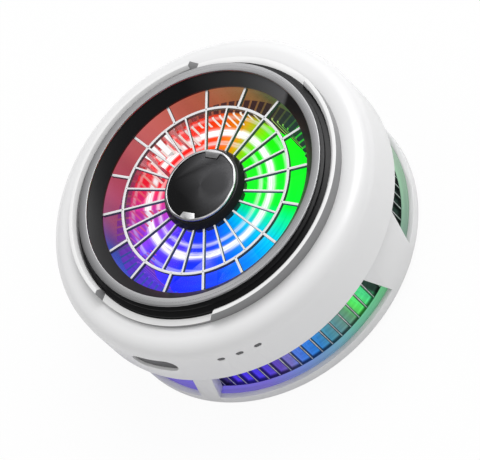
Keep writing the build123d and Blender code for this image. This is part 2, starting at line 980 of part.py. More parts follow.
def blade():
    """One twisted fan blade."""
    start = wheel_hub_radius - wheel_hub_wall / 2
    length = blade_tip_radius - start
    outline = Pos(start + length / 2, 0, 0) * Rectangle(length, blade_thickness)
    bottom = wheel_bottom + blade_lift
    rise = wheel_top - blade_drop - bottom
    sections = []
    for index in range(BLADE_SECTIONS):
        way = index / (BLADE_SECTIONS - 1)
        sections.append(Pos(0, 0, bottom + way * rise) * Rot(0, 0, way * BLADE_SPAN) * outline)
    return loft(sections)


def fan_wheel():
    """Wheel with a cup for the motor, a boss for the shaft and twisted blades."""
    body = disc(wheel_hub_radius, wheel_bottom, wheel_top)
    rim = body.edges().filter_by(GeomType.CIRCLE).sort_by(Axis.Z)[-1]
    body = fillet(rim, wheel_top_round)
    body -= disc(wheel_cup_radius, wheel_bottom, wheel_ceiling)
    body += disc(wheel_boss_radius, wheel_boss_bottom, wheel_ceiling + root_depth)
    body -= disc(shaft_radius + thread_gap, wheel_boss_bottom, wheel_ceiling)
    body += around(blade(), BLADES)
    return body


def rotor_yoke():
    """Steel ring in the wheel's cup."""
    bottom = wheel_bottom + rotor_yoke_lift
    return ring(rotor_yoke_radius, rotor_magnet_radius + thread_gap, bottom, wheel_ceiling - seat_gap)


def rotor_magnet():
    """Magnet ring inside the yoke."""
    bottom = stator_bottom - rotor_magnet_lift
    inner = rotor_magnet_radius - rotor_magnet_width
    return ring(rotor_magnet_radius, inner, bottom, bottom + rotor_magnet_height)


def fan_shaft():
    """Shaft from the thrust pad up into the wheel's boss."""
    bottom = thrust_top + running_gap
    return disc(shaft_radius, bottom, wheel_ceiling - seat_gap)


def main_board():
    """Curved board under the crown, notched behind the button."""
    first, last = BOARD_ANGLES
    inner = light_ring_outer_radius + board_inner_gap
    outer = shell_inner_radius - board_outer_gap
    whole = ring(outer, inner, board_bottom, board_top)
    board = whole & (half_space(first, 0, board_top) - half_space(last, 0, board_top))
    board -= outward_block(
        BUTTON_ANGLE,
        button_middle,
        button_flange_width + 2 * button_notch_margin,
        2 * button_flange_tall,
        plunger_face,
        2 * body_radius,
    )
    for angle in BOARD_SCREW_ANGLES:
        board -= rod(angle, board_screw_circle, board_screw_radius + thread_gap, board_bottom, board_top)
    return board


def board_screws():
    """Screws that hang the main board on its posts."""
    length = main_board_thickness + board_screw_bite
    one = screw(board_head_radius, board_head_height, board_screw_radius, length)
    placed = Pos(board_screw_circle, 0, board_bottom) * one
    return group([Rot(0, 0, angle) * placed for angle in BOARD_SCREW_ANGLES])


def inlet_shell():
    """Metal shell of the cable inlet."""
    end = body_radius - port_setback
    start = end - port_length
    outside = outward_slot(PORT_ANGLE, port_middle, port_width, port_height, start, end)
    bore_width = port_width - 2 * port_metal
    bore_height = port_height - 2 * port_metal
    return outside - outward_slot(PORT_ANGLE, port_middle, bore_width, bore_height, start, end)


def inlet_core():
    """Moulded block and contact tongue inside the inlet."""
    end = body_radius - port_setback
    start = end - port_length
    bore_width = port_width - 2 * port_metal - 2 * thread_gap
    bore_height = port_height - 2 * port_metal - 2 * thread_gap
    block_end = start + port_block_length
    block = outward_slot(PORT_ANGLE, port_middle, bore_width, bore_height, start, block_end)
    tongue_end = end - port_tongue_setback
    return block + outward_block(
        PORT_ANGLE,
        port_middle,
        port_tongue_width,
        port_tongue_thickness,
        block_end - root_depth,
        tongue_end,
    )


def button_switch():
    """Switch body on the board with a pocket for its plunger."""
    body = outward_block(
        BUTTON_ANGLE, button_middle, switch_width, switch_height, switch_back, switch_face
    )
    pocket_start = plunger_face - plunger_length - button_travel - seat_gap
    return body - outward_block(
        BUTTON_ANGLE,
        button_middle,
        plunger_width + 2 * plunger_gap,
        plunger_tall + 2 * plunger_gap,
        pocket_start,
        switch_face,
    )


def switch_plunger():
    """Plunger of the switch, which the button's stem pushes."""
    start = plunger_face - plunger_length
    return outward_block(BUTTON_ANGLE, button_middle, plunger_width, plunger_tall, start, plunger_face)


def mode_button():
    """Long round-ended button with a flange behind the shell and a short stem."""
    cap = outward_slot(
        BUTTON_ANGLE, button_middle, button_width, button_tall, button_flange_back, body_radius
    )
    cap &= disc(body_radius - button_setback, 0, total_height)
    cap += outward_slot(
        BUTTON_ANGLE,
        button_middle,
        button_flange_width,
        button_flange_tall,
        button_flange_back,
        button_flange_face,
    )
    return cap + outward_block(
        BUTTON_ANGLE,
        button_middle,
        button_stem_width,
        button_stem_tall,
        plunger_face,
        button_flange_back + root_depth,
    )


def lens_back():
    """Distance from the axis to the inner end of a level lamp's lens."""
    half = level_lens_width / 2 + level_lens_collar
    return math.sqrt(shell_inner_radius**2 - half**2) - seat_gap - level_lens_length


def lamp_lenses():
    """Three small lenses in the shell's side, each with a collar behind the wall."""
    lenses = []
    for angle in LEVEL_LAMP_ANGLES:
        plug = outward_slot(
            angle, level_lens_middle, level_lens_width, level_lens_tall, lens_back(), body_radius
        )
        plug &= disc(body_radius - level_lens_setback, 0, total_height)
        plug += outward_slot(
            angle,
            level_lens_middle,
            level_lens_width + 2 * level_lens_collar,
            level_lens_tall + 2 * level_lens_collar,
            lens_back(),
            lens_back() + level_lens_length,
        )
        lenses.append(plug)
    return group(lenses)


def level_lamps():
    """Three upright lamps on the board behind the lenses."""
    end = lens_back() - seat_gap
    height = board_top + level_chip_height / 2
    return group(
        [
            outward_block(
                angle, height, level_chip_width, level_chip_height, end - level_chip_depth, end
            )
            for angle in LEVEL_LAMP_ANGLES
        ]
    )


def board_block(angle, width, height):
    """A square part that stands on the main board."""
    middle = board_top + height / 2
    start = parts_circle - width / 2
    return outward_block(angle, middle, width, height, start, start + width)


def board_capacitors():
    """Two round capacitors on the main board."""
    return group(
        [
            rod(angle, parts_circle, capacitor_radius, board_top, board_top + capacitor_height)
            for angle in CAPACITOR_ANGLES
        ]
    )


def case_screws():
    """Three long screws from the rear shell into the front shell's posts."""
    length = case_screw_grip + case_screw_bite
    one = screw(case_head_radius, case_head_height, case_screw_radius, length)
    placed = Pos(case_screw_circle, 0, tongue_top - case_screw_grip) * one
    return group([Rot(0, 0, angle) * placed for angle in CASE_SCREW_ANGLES])


PARTS = {
    "front_shell": front_shell,
    "rear_shell": rear_shell,
    "crown_collar": collar,
    "bezel_body": bezel,
    "trim_ring": trim,
    "wire_guard": wire_guard,
    "hub_housing": hub_housing,
    "hub_rim": hub_rim,
    "hub_cap": hub_cap,
    "hub_clamp": hub_clamp,
    "hub_screw": hub_screw,
    "light_ring": light_ring,
    "lamp_board": lamp_board,
    "colour_lamps": colour_lamps,
    "heatsink": heatsink,
    "hot_ceramic": lambda: module_plate(module_top - ceramic_thickness),
    "cold_ceramic": lambda: module_plate(module_bottom),
    "module_pellets": module_pellets,
    "module_frame": module_frame,
    "cold_plate": cold_plate,
    "back_pad": back_pad,
    "magnet_segments": magnets,
    "magnet_backing": magnet_backing,
    "motor_seat": motor_seat,
    "motor_screws": motor_screws,
    "bearing_tube": bearing_tube,
    "sleeve_bearing": sleeve_bearing,
    "thrust_pad": thrust_pad,
    "stator_core": stator_core,
    "stator_windings": stator_windings,
    "motor_board": motor_board,
    "fan_wheel": fan_wheel,
    "rotor_yoke": rotor_yoke,
    "rotor_magnet": rotor_magnet,
    "fan_shaft": fan_shaft,
    "main_board": main_board,
    "board_screws": board_screws,
    "inlet_shell": inlet_shell,
    "inlet_core": inlet_core,
    "button_switch": button_switch,
    "switch_plunger": switch_plunger,
    "mode_button": mode_button,
    "lamp_lenses": lamp_lenses,
    "level_lamps": level_lamps,
    "control_chip": lambda: board_block(CHIP_ANGLE, chip_width, chip_height),
    "power_choke": lambda: board_block(CHOKE_ANGLE, choke_width, choke_height),
    "board_capacitors": board_capacitors,
    "case_screws": case_screws,
}

os.makedirs("parts", exist_ok=True)
for name, make in PARTS.items():
    export_step(make(), f"parts/{name}.step")
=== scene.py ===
"""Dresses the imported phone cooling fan: fine meshes, finishes, light, floor and camera."""

import logging
import math
from collections.abc import Callable, Sequence
from dataclasses import dataclass
from enum import Enum

import bmesh
import bpy
from mathutils import Matrix, Vector


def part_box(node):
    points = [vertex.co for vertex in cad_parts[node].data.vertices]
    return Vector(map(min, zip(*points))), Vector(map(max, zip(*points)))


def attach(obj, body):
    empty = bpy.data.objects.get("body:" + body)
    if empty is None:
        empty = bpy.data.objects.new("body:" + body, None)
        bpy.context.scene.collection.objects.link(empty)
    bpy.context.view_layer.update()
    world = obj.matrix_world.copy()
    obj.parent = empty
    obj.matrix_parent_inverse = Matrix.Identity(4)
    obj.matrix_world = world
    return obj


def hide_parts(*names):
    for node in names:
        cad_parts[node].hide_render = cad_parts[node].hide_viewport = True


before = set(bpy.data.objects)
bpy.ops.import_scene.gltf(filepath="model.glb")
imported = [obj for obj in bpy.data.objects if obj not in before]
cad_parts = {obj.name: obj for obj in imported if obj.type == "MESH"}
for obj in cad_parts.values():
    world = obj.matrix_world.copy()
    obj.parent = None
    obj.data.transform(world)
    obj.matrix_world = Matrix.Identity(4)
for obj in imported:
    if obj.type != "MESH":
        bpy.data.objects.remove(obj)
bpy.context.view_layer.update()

LOG = logging.getLogger("cooler")

MM = 0.001
CASE = "case"
ROTOR = "rotor"
BUTTON = "button"

# The photo's line of sight: the level of the wheel's top, the slope and the angle about Z.
LEAN_TOP = 25.2
LEAN_SLOPE = 0.826
LEAN_ANGLE = -28.0
FIN_COUNT = 80.0

# Angles in degrees: shaded as sharp, rounded on the dome and the collar, merged as flat.
SHARP = 30.0
EASE_LIMIT = 32.0
FLAT = 0.4

# Lengths in millimetres: the gap that is welded, a wire's reach into its neighbour, a cutter's end.
WELD = 0.0005
ROOT = 0.1
FAR = 40.0

# Where most of a noise's values lie, and the size of a moulding's flow marks in millimetres.
NOISE = (0.3, 0.7)
FLOW_SIZE = 14.0

Colour = tuple[float, float, float]
Point = tuple[float, float]
Stops = tuple[tuple[float, Colour], ...]
Steps = tuple[tuple[float, float], ...]
Socket = bpy.types.NodeSocket
Mesh = bpy.types.Mesh
Face = bpy.types.MeshPolygon

WINDOWS: tuple[tuple[Point, Point], ...] = (
    ((-82.0, -8.5), (-76.0, -14.0)),
    ((8.5, 82.0), (14.0, 76.0)),
    ((98.0, 171.5), (104.0, 166.0)),
    ((-171.5, -89.5), (-166.0, -83.5)),
)

# Colours of the painted light from the ring of colour lamps, by the angle about Z in degrees.
RAINBOW: Stops = (
    (-180.0, (0.90, 0.01, 0.03)),
    (-162.0, (0.70, 0.03, 0.25)),
    (-144.0, (0.42, 0.05, 0.62)),
    (-122.0, (0.12, 0.04, 0.90)),
    (-90.0, (0.01, 0.03, 0.98)),
    (-62.0, (0.01, 0.06, 0.98)),
    (-40.0, (0.00, 0.25, 0.95)),
    (-24.0, (0.00, 0.55, 0.85)),
    (-12.0, (0.00, 0.80, 0.40)),
    (0.0, (0.00, 0.95, 0.03)),
    (56.0, (0.01, 0.98, 0.00)),
    (74.0, (0.35, 0.55, 0.00)),
    (88.0, (0.85, 0.25, 0.00)),
    (108.0, (0.98, 0.05, 0.00)),
    (130.0, (1.00, 0.01, 0.00)),
    (180.0, (0.90, 0.01, 0.03)),
)

# Painted light on the fins' sides by the angle about Z; the near-black stops are painted shade.
FIN_HUES: Stops = (
    (-180.0, (0.30, 0.02, 0.10)),
    (-128.0, (0.10, 0.03, 0.62)),
    (-84.0, (0.06, 0.03, 0.80)),
    (-80.5, (0.02, 0.005, 0.05)),
    (-77.0, (0.07, 0.02, 0.80)),
    (-66.0, (0.06, 0.03, 0.85)),
    (-57.5, (0.12, 0.06, 0.50)),
    (-53.0, (0.20, 0.18, 0.55)),
    (-48.5, (0.05, 0.20, 0.75)),
    (-42.0, (0.01, 0.22, 0.72)),
    (-35.0, (0.06, 0.30, 0.42)),
    (-28.5, (0.14, 0.32, 0.30)),
    (-23.5, (0.13, 0.38, 0.18)),
    (-20.0, (0.10, 0.88, 0.12)),
    (-14.5, (0.08, 0.80, 0.30)),
    (-11.5, (0.005, 0.035, 0.02)),
    (66.0, (0.004, 0.03, 0.02)),
    (84.0, (0.03, 0.012, 0.01)),
    (118.0, (0.08, 0.01, 0.01)),
    (150.0, (0.55, 0.02, 0.02)),
    (180.0, (0.30, 0.02, 0.10)),
)

# Painted reflection of the lamps' coloured light on the ledge in the windows.
LEDGE_HUES: Stops = (
    (-180.0, (0.20, 0.05, 0.30)),
    (-84.0, (0.13, 0.09, 0.80)),
    (-64.0, (0.16, 0.10, 0.75)),
    (-50.0, (0.12, 0.22, 0.70)),
    (-36.0, (0.10, 0.35, 0.55)),
    (-24.0, (0.08, 0.50, 0.30)),
    (-10.0, (0.10, 0.60, 0.22)),
    (12.0, (0.14, 0.34, 0.22)),
    (36.0, (0.28, 0.58, 0.34)),
    (60.0, (0.50, 0.62, 0.50)),
    (90.0, (0.30, 0.12, 0.06)),
    (180.0, (0.20, 0.05, 0.30)),
)

# Painted light on the fins' inner ends; the near-white stops are a painted highlight.
END_HUES: Stops = (
    (-180.0, (0.80, 0.10, 0.14)),
    (-140.0, (0.30, 0.06, 0.50)),
    (-100.0, (0.02, 0.06, 0.90)),
    (-30.0, (0.00, 0.50, 0.80)),
    (0.0, (0.00, 0.90, 0.05)),
    (60.0, (0.06, 0.60, 0.04)),
    (84.0, (0.55, 0.48, 0.20)),
    (96.0, (0.95, 0.90, 0.84)),
    (164.0, (1.00, 0.84, 0.80)),
    (172.0, (0.90, 0.25, 0.22)),
    (180.0, (0.80, 0.10, 0.14)),
)

# Glow of the light ring; the guard's rim and the fins' tops show it as painted light.
RING_HUES: Stops = (
    (-180.0, (0.55, 0.06, 0.12)),
    (-158.0, (0.45, 0.08, 0.22)),
    (-148.0, (0.20, 0.06, 0.36)),
    (-140.0, (0.01, 0.07, 0.48)),
    (-118.0, (0.01, 0.07, 0.62)),
    (-60.0, (0.01, 0.05, 0.95)),
    (-20.0, (0.00, 0.45, 0.60)),
    (0.0, (0.00, 0.90, 0.02)),
    (56.0, (0.00, 0.70, 0.01)),
    (64.0, (0.03, 0.12, 0.02)),
    (80.0, (0.14, 0.13, 0.03)),
    (94.0, (0.50, 0.22, 0.06)),
    (120.0, (0.62, 0.13, 0.06)),
    (155.0, (0.66, 0.12, 0.12)),
    (180.0, (0.55, 0.06, 0.12)),
)

# Painted white highlight rings of the spinning wheel: distance from the axis in millimetres and their share.
WHEEL_HIGHLIGHT_RINGS: Steps = (
    (0.0, 0.0),
    (10.5, 0.0),
    (10.8, 0.12),
    (11.1, 0.42),
    (11.5, 0.38),
    (11.9, 0.0),
    (12.6, 0.01),
    (12.95, 0.6),
    (13.2, 1.0),
    (14.0, 1.0),
    (14.4, 0.3),
    (14.8, 0.02),
    (15.3, 0.0),
    (16.4, 0.0),
    (16.8, 0.26),
    (17.1, 0.28),
    (17.4, 0.02),
    (18.2, 0.0),
    (20.0, 0.0),
)


class Grain(Enum):
    """How a metal's surface was worked."""

    SPUN = "spun"
    DRAWN = "drawn"
    CAST = "cast"


class Sheet:
    """A small helper that writes one material's or the world's node tree."""

    def __init__(self, owner: str | bpy.types.World) -> None:
        """Starts an empty tree.

        Args:
            owner: the new material's name, or a world.
        """
        named = isinstance(owner, str)
        self.owner = bpy.data.materials.new(owner) if named else owner
        self.owner.use_nodes = True
        self.tree = self.owner.node_tree
        self.tree.nodes.clear()
        self.output = self.tree.nodes.new("ShaderNodeOutputMaterial" if named else "ShaderNodeOutputWorld")

    def add(self, kind: str, inputs: dict | None = None, **settings: object) -> bpy.types.Node:
        """Adds one node.

        Args:
            kind: the node's type without the word ShaderNode.
            inputs: socket name or number to a value or to another node's output.
            settings: the node's own properties.

        Returns:
            The new node.
        """
        node = self.tree.nodes.new("ShaderNode" + kind)
        for key, value in settings.items():
            setattr(node, key, value)
        for key, value in (inputs or {}).items():
            socket = node.inputs[key]
            if isinstance(value, Socket):
                self.tree.links.new(value, socket)
            elif isinstance(value, tuple) and len(value) == 3 and socket.type == "RGBA":
                socket.default_value = (*value, 1.0)
            else:
                socket.default_value = value
        return node

    def place(self) -> Socket:
        """Returns the object coordinates in metres."""
        return self.add("TexCoord").outputs["Object"]

    def noise(self, vector: Socket, scale: float, detail: float = 3.0) -> Socket:
        """Adds a noise texture.

        Args:
            vector: where the noise is read.
            scale: its scale.
            detail: its number of octaves.

        Returns:
            The noise value.
        """
        made = self.add("TexNoise", {"Vector": vector, "Scale": scale, "Detail": detail})
        return made.outputs["Fac"]

    def span(self, value: Socket, ends: Sequence[float], curve: str = "LINEAR") -> Socket:
        """Maps a value from one range to another.

        Args:
            value: the value.
            ends: from low, from high, to low, to high.
            curve: the kind of change between the ends.

        Returns:
            The mapped value.
        """
        names = ("From Min", "From Max", "To Min", "To Max")
        inputs = {"Value": value, **dict(zip(names, ends))}
        return self.add("MapRange", inputs, interpolation_type=curve).outputs["Result"]

    def maths(self, operation: str, first: object, second: object = 0.0) -> Socket:
        """Adds a Math node.

        Args:
            operation: its operation.
            first: a value or a socket.
            second: a value or a socket.

        Returns:
            The result.
        """
        return self.add("Math", {0: first, 1: second}, operation=operation).outputs[0]

    def mix(self, share: object, first: object, second: object) -> Socket:
        """Mixes two colours.

        Args:
            share: how much of the second, a value or a socket.
            first: a colour or a socket.
            second: a colour or a socket.

        Returns:
            The mixed colour.
        """
        return self.add("Mix", {0: share, 6: first, 7: second}, data_type="RGBA").outputs[2]

    def blend(self, share: Socket, first: object, second: object) -> Socket:
        """Mixes two values.

        Args:
            share: how much of the second.
            first: a number or a socket.
            second: a number or a socket.

        Returns:
            The mixed value.
        """
        return self.add("Mix", {0: share, 2: first, 3: second}, data_type="FLOAT").outputs[0]

    def ramp(self, value: Socket, stops: Sequence[tuple[float, Colour]]) -> Socket:
        """Adds a colour ramp.

        Args:
            value: the value from 0 to 1.
            stops: position and colour of each stop, in order.

        Returns:
            The colour.
        """
        node = self.add("ValToRGB", {"Fac": value})
        elements = node.color_ramp.elements
        while len(elements) < len(stops):
            elements.new(0.5)
        for element, (position, colour) in zip(elements, stops):
            element.position = position
            element.color = (*colour, 1.0)
        return node.outputs["Color"]

    def turn_and_radius(self, lean: bool = False) -> tuple[Socket, Socket]:
        """Adds the angle about Z and the distance from the axis.

        Args:
            lean: reads both where a leaning line through the point meets the wheel's top.

        Returns:
            The angle from 0 to 1 and the distance in millimetres.
        """
        parts = self.add("SeparateXYZ", {0: self.place()})
        across = parts.outputs["X"]
        along = parts.outputs["Y"]
        if lean:
            drop = self.maths("SUBTRACT", LEAN_TOP * MM, parts.outputs["Z"])
            turned = math.radians(LEAN_ANGLE)
            across = self.maths("ADD", across, self.maths("MULTIPLY", drop, LEAN_SLOPE * math.cos(turned)))
            along = self.maths("ADD", along, self.maths("MULTIPLY", drop, LEAN_SLOPE * math.sin(turned)))
        angle = self.maths("ARCTAN2", along, across)
        turn = self.span(angle, (-math.pi, math.pi, 0.0, 1.0))
        squares = [self.maths("MULTIPLY", side, side) for side in (across, along)]
        radius = self.maths("MULTIPLY", self.maths("SQRT", self.maths("ADD", *squares)), 1.0 / MM)
        return turn, radius

    def swirl(self, turn: Socket, radius: Socket, fineness: float, length: float) -> Socket:
        """Adds noise drawn out round the axis.

        Args:
            turn: the angle from 0 to 1.
            radius: the distance from the axis in millimetres.
            fineness: how fine it is across.
            length: how often it changes round the axis.

        Returns:
            The noise value.
        """
        angle = self.maths("MULTIPLY", turn, 2.0 * math.pi)
        lines = self.add(
            "CombineXYZ",
            {
                0: self.maths("MULTIPLY", radius, fineness),
                1: self.maths("MULTIPLY", self.maths("COSINE", angle), length),
                2: self.maths("MULTIPLY", self.maths("SINE", angle), length),
            },
        )
        return self.noise(lines.outputs[0], 1.0, 4.0)

    def hues(self, turn: Socket, stops: Stops) -> Socket:
        """Returns a colour that changes round the axis.

        Args:
            turn: the angle about Z from 0 to 1.
            stops: angle in degrees and colour.

        Returns:
            The colour.
        """
        return self.ramp(turn, [((angle + 180.0) / 360.0, colour) for angle, colour in stops])

    def levels(self, radius: Socket, stops: Steps) -> Socket:
        """Returns a value that changes with the distance from the axis.

        Args:
            radius: the distance in millimetres.
            stops: distance and value, in order.

        Returns:
            The value.
        """
        reach = stops[-1][0]
        share = self.maths("MULTIPLY", radius, 1.0 / reach)
        return self.ramp(share, [(place / reach, (value, value, value)) for place, value in stops])

    def pitch_distance(self, turn: Socket, radius: Socket, count: float) -> Socket:
        """Returns the distance from the nearest of evenly spaced radial planes.

        Args:
            turn: the angle from 0 to 1.
            radius: the distance from the axis in millimetres.
            count: how many planes there are.

        Returns:
            The distance in millimetres.
        """
        step = self.maths("FRACT", self.maths("ADD", self.maths("MULTIPLY", turn, count), 0.5))
        off = self.maths("ABSOLUTE", self.maths("SUBTRACT", step, 0.5))
        return self.maths("MULTIPLY", self.maths("MULTIPLY", off, 2.0 * math.pi / count), radius)

    def relief(self, height: Socket, strength: float, distance: float) -> Socket:
        """Adds a bump.

        Args:
            height: the height field.
            strength: how strong it is.
            distance: its depth in millimetres.

        Returns:
            The normal.
        """
        made = self.add("Bump", {"Height": height, "Strength": strength, "Distance": distance * MM})
        return made.outputs["Normal"]

    def surface(self, inputs: dict[str, object]) -> bpy.types.Material:
        """Adds the surface shader and joins it to the output.

        Args:
            inputs: socket name to a value or to another node's output.

        Returns:
            The material.
        """
        return self.finish(self.add("BsdfPrincipled", inputs))

    def finish(self, shader: bpy.types.Node) -> bpy.types.Material | bpy.types.World:
        """Joins the shader to the output.

        Args:
            shader: the last shader node.

        Returns:
            The material or the world.
        """
        self.tree.links.new(shader.outputs[0], self.output.inputs["Surface"])
        return self.owner


@dataclass(frozen=True)
class Moulded:
    """Moulded plastic or rubber: faint flow mottling, fine grain and uneven gloss."""

    name: str
    colour: Colour
    rough: float = 0.35
    grain: float = 0.25
    depth: float = 0.004
    mottle: float = 0.03
    coat: float = 0.0
    sheen: float = 0.0

    def build(self) -> bpy.types.Material:
        """Returns the material."""
        sheet = Sheet(self.name)
        place = sheet.place()
        flow = sheet.noise(place, 1.0 / (FLOW_SIZE * MM), 2.0)
        fine = sheet.noise(place, 1.0 / (self.grain * MM), 2.0)
        low = tuple(c * (1.0 - self.mottle) for c in self.colour)
        high = tuple(min(1.0, c * (1.0 + self.mottle)) for c in self.colour)
        inputs = {
            "Base Color": sheet.mix(flow, low, high),
            "Roughness": sheet.span(flow, (*NOISE, self.rough - 0.04, self.rough + 0.04)),
            "Normal": sheet.relief(fine, 0.5, self.depth),
            "Coat Weight": self.coat,
            "Coat Roughness": 0.12,
            "Sheen Weight": self.sheen,
        }
        return sheet.surface(inputs)


@dataclass(frozen=True)
class Metal:
    """Bare or plated metal with the marks of how it was worked."""

    name: str
    colour: Colour
    rough: float = 0.3
    grain: Grain = Grain.DRAWN
    pitch: float = 0.2
    depth: float = 0.003
    anisotropy: float = 0.0

    def build(self) -> bpy.types.Material:
        """Returns the material."""
        sheet = Sheet(self.name)
        turn, radius = sheet.turn_and_radius()
        place = sheet.place()
        if self.grain is Grain.SPUN:
            lines = sheet.add("CombineXYZ", {0: sheet.maths("MULTIPLY", radius, 1.0 / self.pitch), 1: turn})
            marks = sheet.noise(lines.outputs[0], 1.0, 3.0)
        elif self.grain is Grain.DRAWN:
            stretch = sheet.add("Mapping", {"Vector": place, "Scale": (1.0, 1.0, 0.06)})
            marks = sheet.noise(stretch.outputs[0], 1.0 / (self.pitch * MM), 3.0)
        else:
            marks = sheet.noise(place, 1.0 / (self.pitch * MM), 5.0)
        dark = tuple(c * 0.86 for c in self.colour)
        inputs = {
            "Base Color": sheet.mix(marks, dark, self.colour),
            "Metallic": 1.0,
            "Roughness": sheet.span(marks, (*NOISE, self.rough - 0.05, self.rough + 0.06)),
            "Normal": sheet.relief(marks, 0.6, self.depth),
        }
        if self.anisotropy:
            inputs["Anisotropic"] = self.anisotropy
            inputs["Tangent"] = sheet.add("Tangent", direction_type="RADIAL", axis="Z").outputs[0]
        return sheet.surface(inputs)


@dataclass(frozen=True)
class Lit:
    """A surface that glows with painted light in place of the light from the ring of colour lamps, changing
    round the axis.
    """

    name: str
    colour: Colour
    strength: float = 1.0
    haze: float = 0.0
    own: float = 0.1
    rough: float = 0.35
    hues: Stops = RAINBOW
    highlight_rings: Steps = ()
    levels: Steps = ()
    unrest: tuple[float, float] = (0.8, 1.1)
    fineness: float = 1.6
    lean: bool = False
    shine: float = 0.25
    core: float = 0.0
    core_depth: float = 23.5

    def build(self) -> bpy.types.Material:
        """Returns the material."""
        sheet = Sheet(self.name)
        turn, radius = sheet.turn_and_radius(self.lean)
        light = sheet.hues(turn, self.hues)
        # Haze pales the painted light towards grey.
        if self.haze:
            light = sheet.mix(self.haze, light, (0.55, 0.55, 0.58))
        marks = sheet.swirl(turn, radius, self.fineness, 1.3)
        power = sheet.span(marks, (0.35, 0.65, *self.unrest))
        # Painted highlight: white rings by the distance from the axis, broken into fine streaks.
        if self.highlight_rings:
            white = sheet.levels(radius, self.highlight_rings)
            thread = sheet.swirl(turn, radius, 5.0, 2.2)
            ripple = sheet.span(thread, (0.36, 0.60, 0.5, 1.35))
            light = sheet.mix(sheet.maths("MULTIPLY", white, ripple), light, (1.0, 1.0, 1.0))
        # Where the line of sight passes inside the wheel, the wheel's painted light and painted highlight
        # rings are painted here.
        if self.core:
            seen_turn, seen_radius = sheet.turn_and_radius(True)
            near = sheet.span(radius, (self.core_depth, self.core_depth + 1.0, 1.0, 0.0))
            inside = sheet.span(seen_radius, (self.core - 0.4, self.core, 1.0, 0.0))
            light = sheet.mix(sheet.maths("MULTIPLY", near, inside), light, sheet.hues(seen_turn, RAINBOW))
            white = sheet.maths("MULTIPLY", near, sheet.levels(seen_radius, WHEEL_HIGHLIGHT_RINGS))
            light = sheet.mix(white, light, (1.0, 1.0, 1.0))
        if self.levels:
            power = sheet.maths("MULTIPLY", power, sheet.levels(radius, self.levels))
        glow = sheet.maths("MULTIPLY", power, self.strength)
        fine = sheet.noise(sheet.place(), 1.0 / (0.4 * MM), 3.0)
        inputs = {
            "Base Color": sheet.mix(self.own, sheet.mix(0.8, light, (0.0, 0.0, 0.0)), self.colour),
            "Roughness": sheet.span(fine, (*NOISE, self.rough - 0.05, self.rough + 0.05)),
            "Specular IOR Level": self.shine,
            "Normal": sheet.relief(fine, 0.4, 0.004),
            "Emission Color": light,
            "Emission Strength": glow,
        }
        return sheet.surface(inputs)


@dataclass(frozen=True)
class EdgeLine:
    """The bare edge of a thin fin: a painted highlight line with painted shade on both sides."""

    name: str
    # bright is the painted highlight's colour and dark the painted shade's.
    bright: Colour = (0.75, 0.76, 0.78)
    dark: Colour = (0.02, 0.022, 0.026)
    half: float = 0.075

    def build(self) -> bpy.types.Material:
        """Returns the material."""
        sheet = Sheet(self.name)
        turn, radius = sheet.turn_and_radius()
        off = sheet.pitch_distance(turn, radius, FIN_COUNT)
        edge = sheet.span(off, (self.half, self.half + 0.04, 1.0, 0.0))
        # Unevenness breaks up the painted highlight and varies the roughness and the bumps.
        unevenness = sheet.span(sheet.noise(sheet.place(), 1.0 / (1.5 * MM), 4.0), (0.3, 0.6, 0.45, 1.0))
        share = sheet.maths("MULTIPLY", edge, unevenness)
        inputs = {
            "Base Color": sheet.mix(share, self.dark, self.bright),
            "Metallic": sheet.maths("MULTIPLY", share, 0.3),
            "Roughness": sheet.span(unevenness, (0.45, 1.0, 0.5, 0.3)),
            "Normal": sheet.relief(unevenness, 0.4, 0.01),
        }
        return sheet.surface(inputs)


@dataclass(frozen=True)
class Funnel:
    """Black satin plastic with one painted grey reflection swept round the funnel."""

    name: str
    dark: Colour = (0.006, 0.006, 0.007)
    # The colour of the painted reflection.
    sheen: Colour = (0.12, 0.12, 0.125)
    inside: float = 24.6

    def build(self) -> bpy.types.Material:
        """Returns the material."""
        sheet = Sheet(self.name)
        turn, radius = sheet.turn_and_radius()
        # Painted reflection: grey from 62 degrees about Z, fading out by 122 degrees, only inside 24.6 mm
        # from the axis.
        painted_reflection = sheet.hues(
            turn,
            (
                (-180.0, self.dark),
                (61.0, self.dark),
                (62.5, self.sheen),
                (92.0, tuple(0.35 * c for c in self.sheen)),
                (122.0, self.dark),
            ),
        )
        within = sheet.span(radius, (self.inside - 0.1, self.inside, 1.0, 0.0))
        fine = sheet.noise(sheet.place(), 1.0 / (0.28 * MM), 2.0)
        inputs = {
            "Base Color": sheet.mix(within, self.dark, painted_reflection),
            "Roughness": sheet.span(fine, (*NOISE, 0.33, 0.42)),
            "Specular IOR Level": 0.35,
            "Normal": sheet.relief(fine, 0.5, 0.005),
        }
        return sheet.surface(inputs)


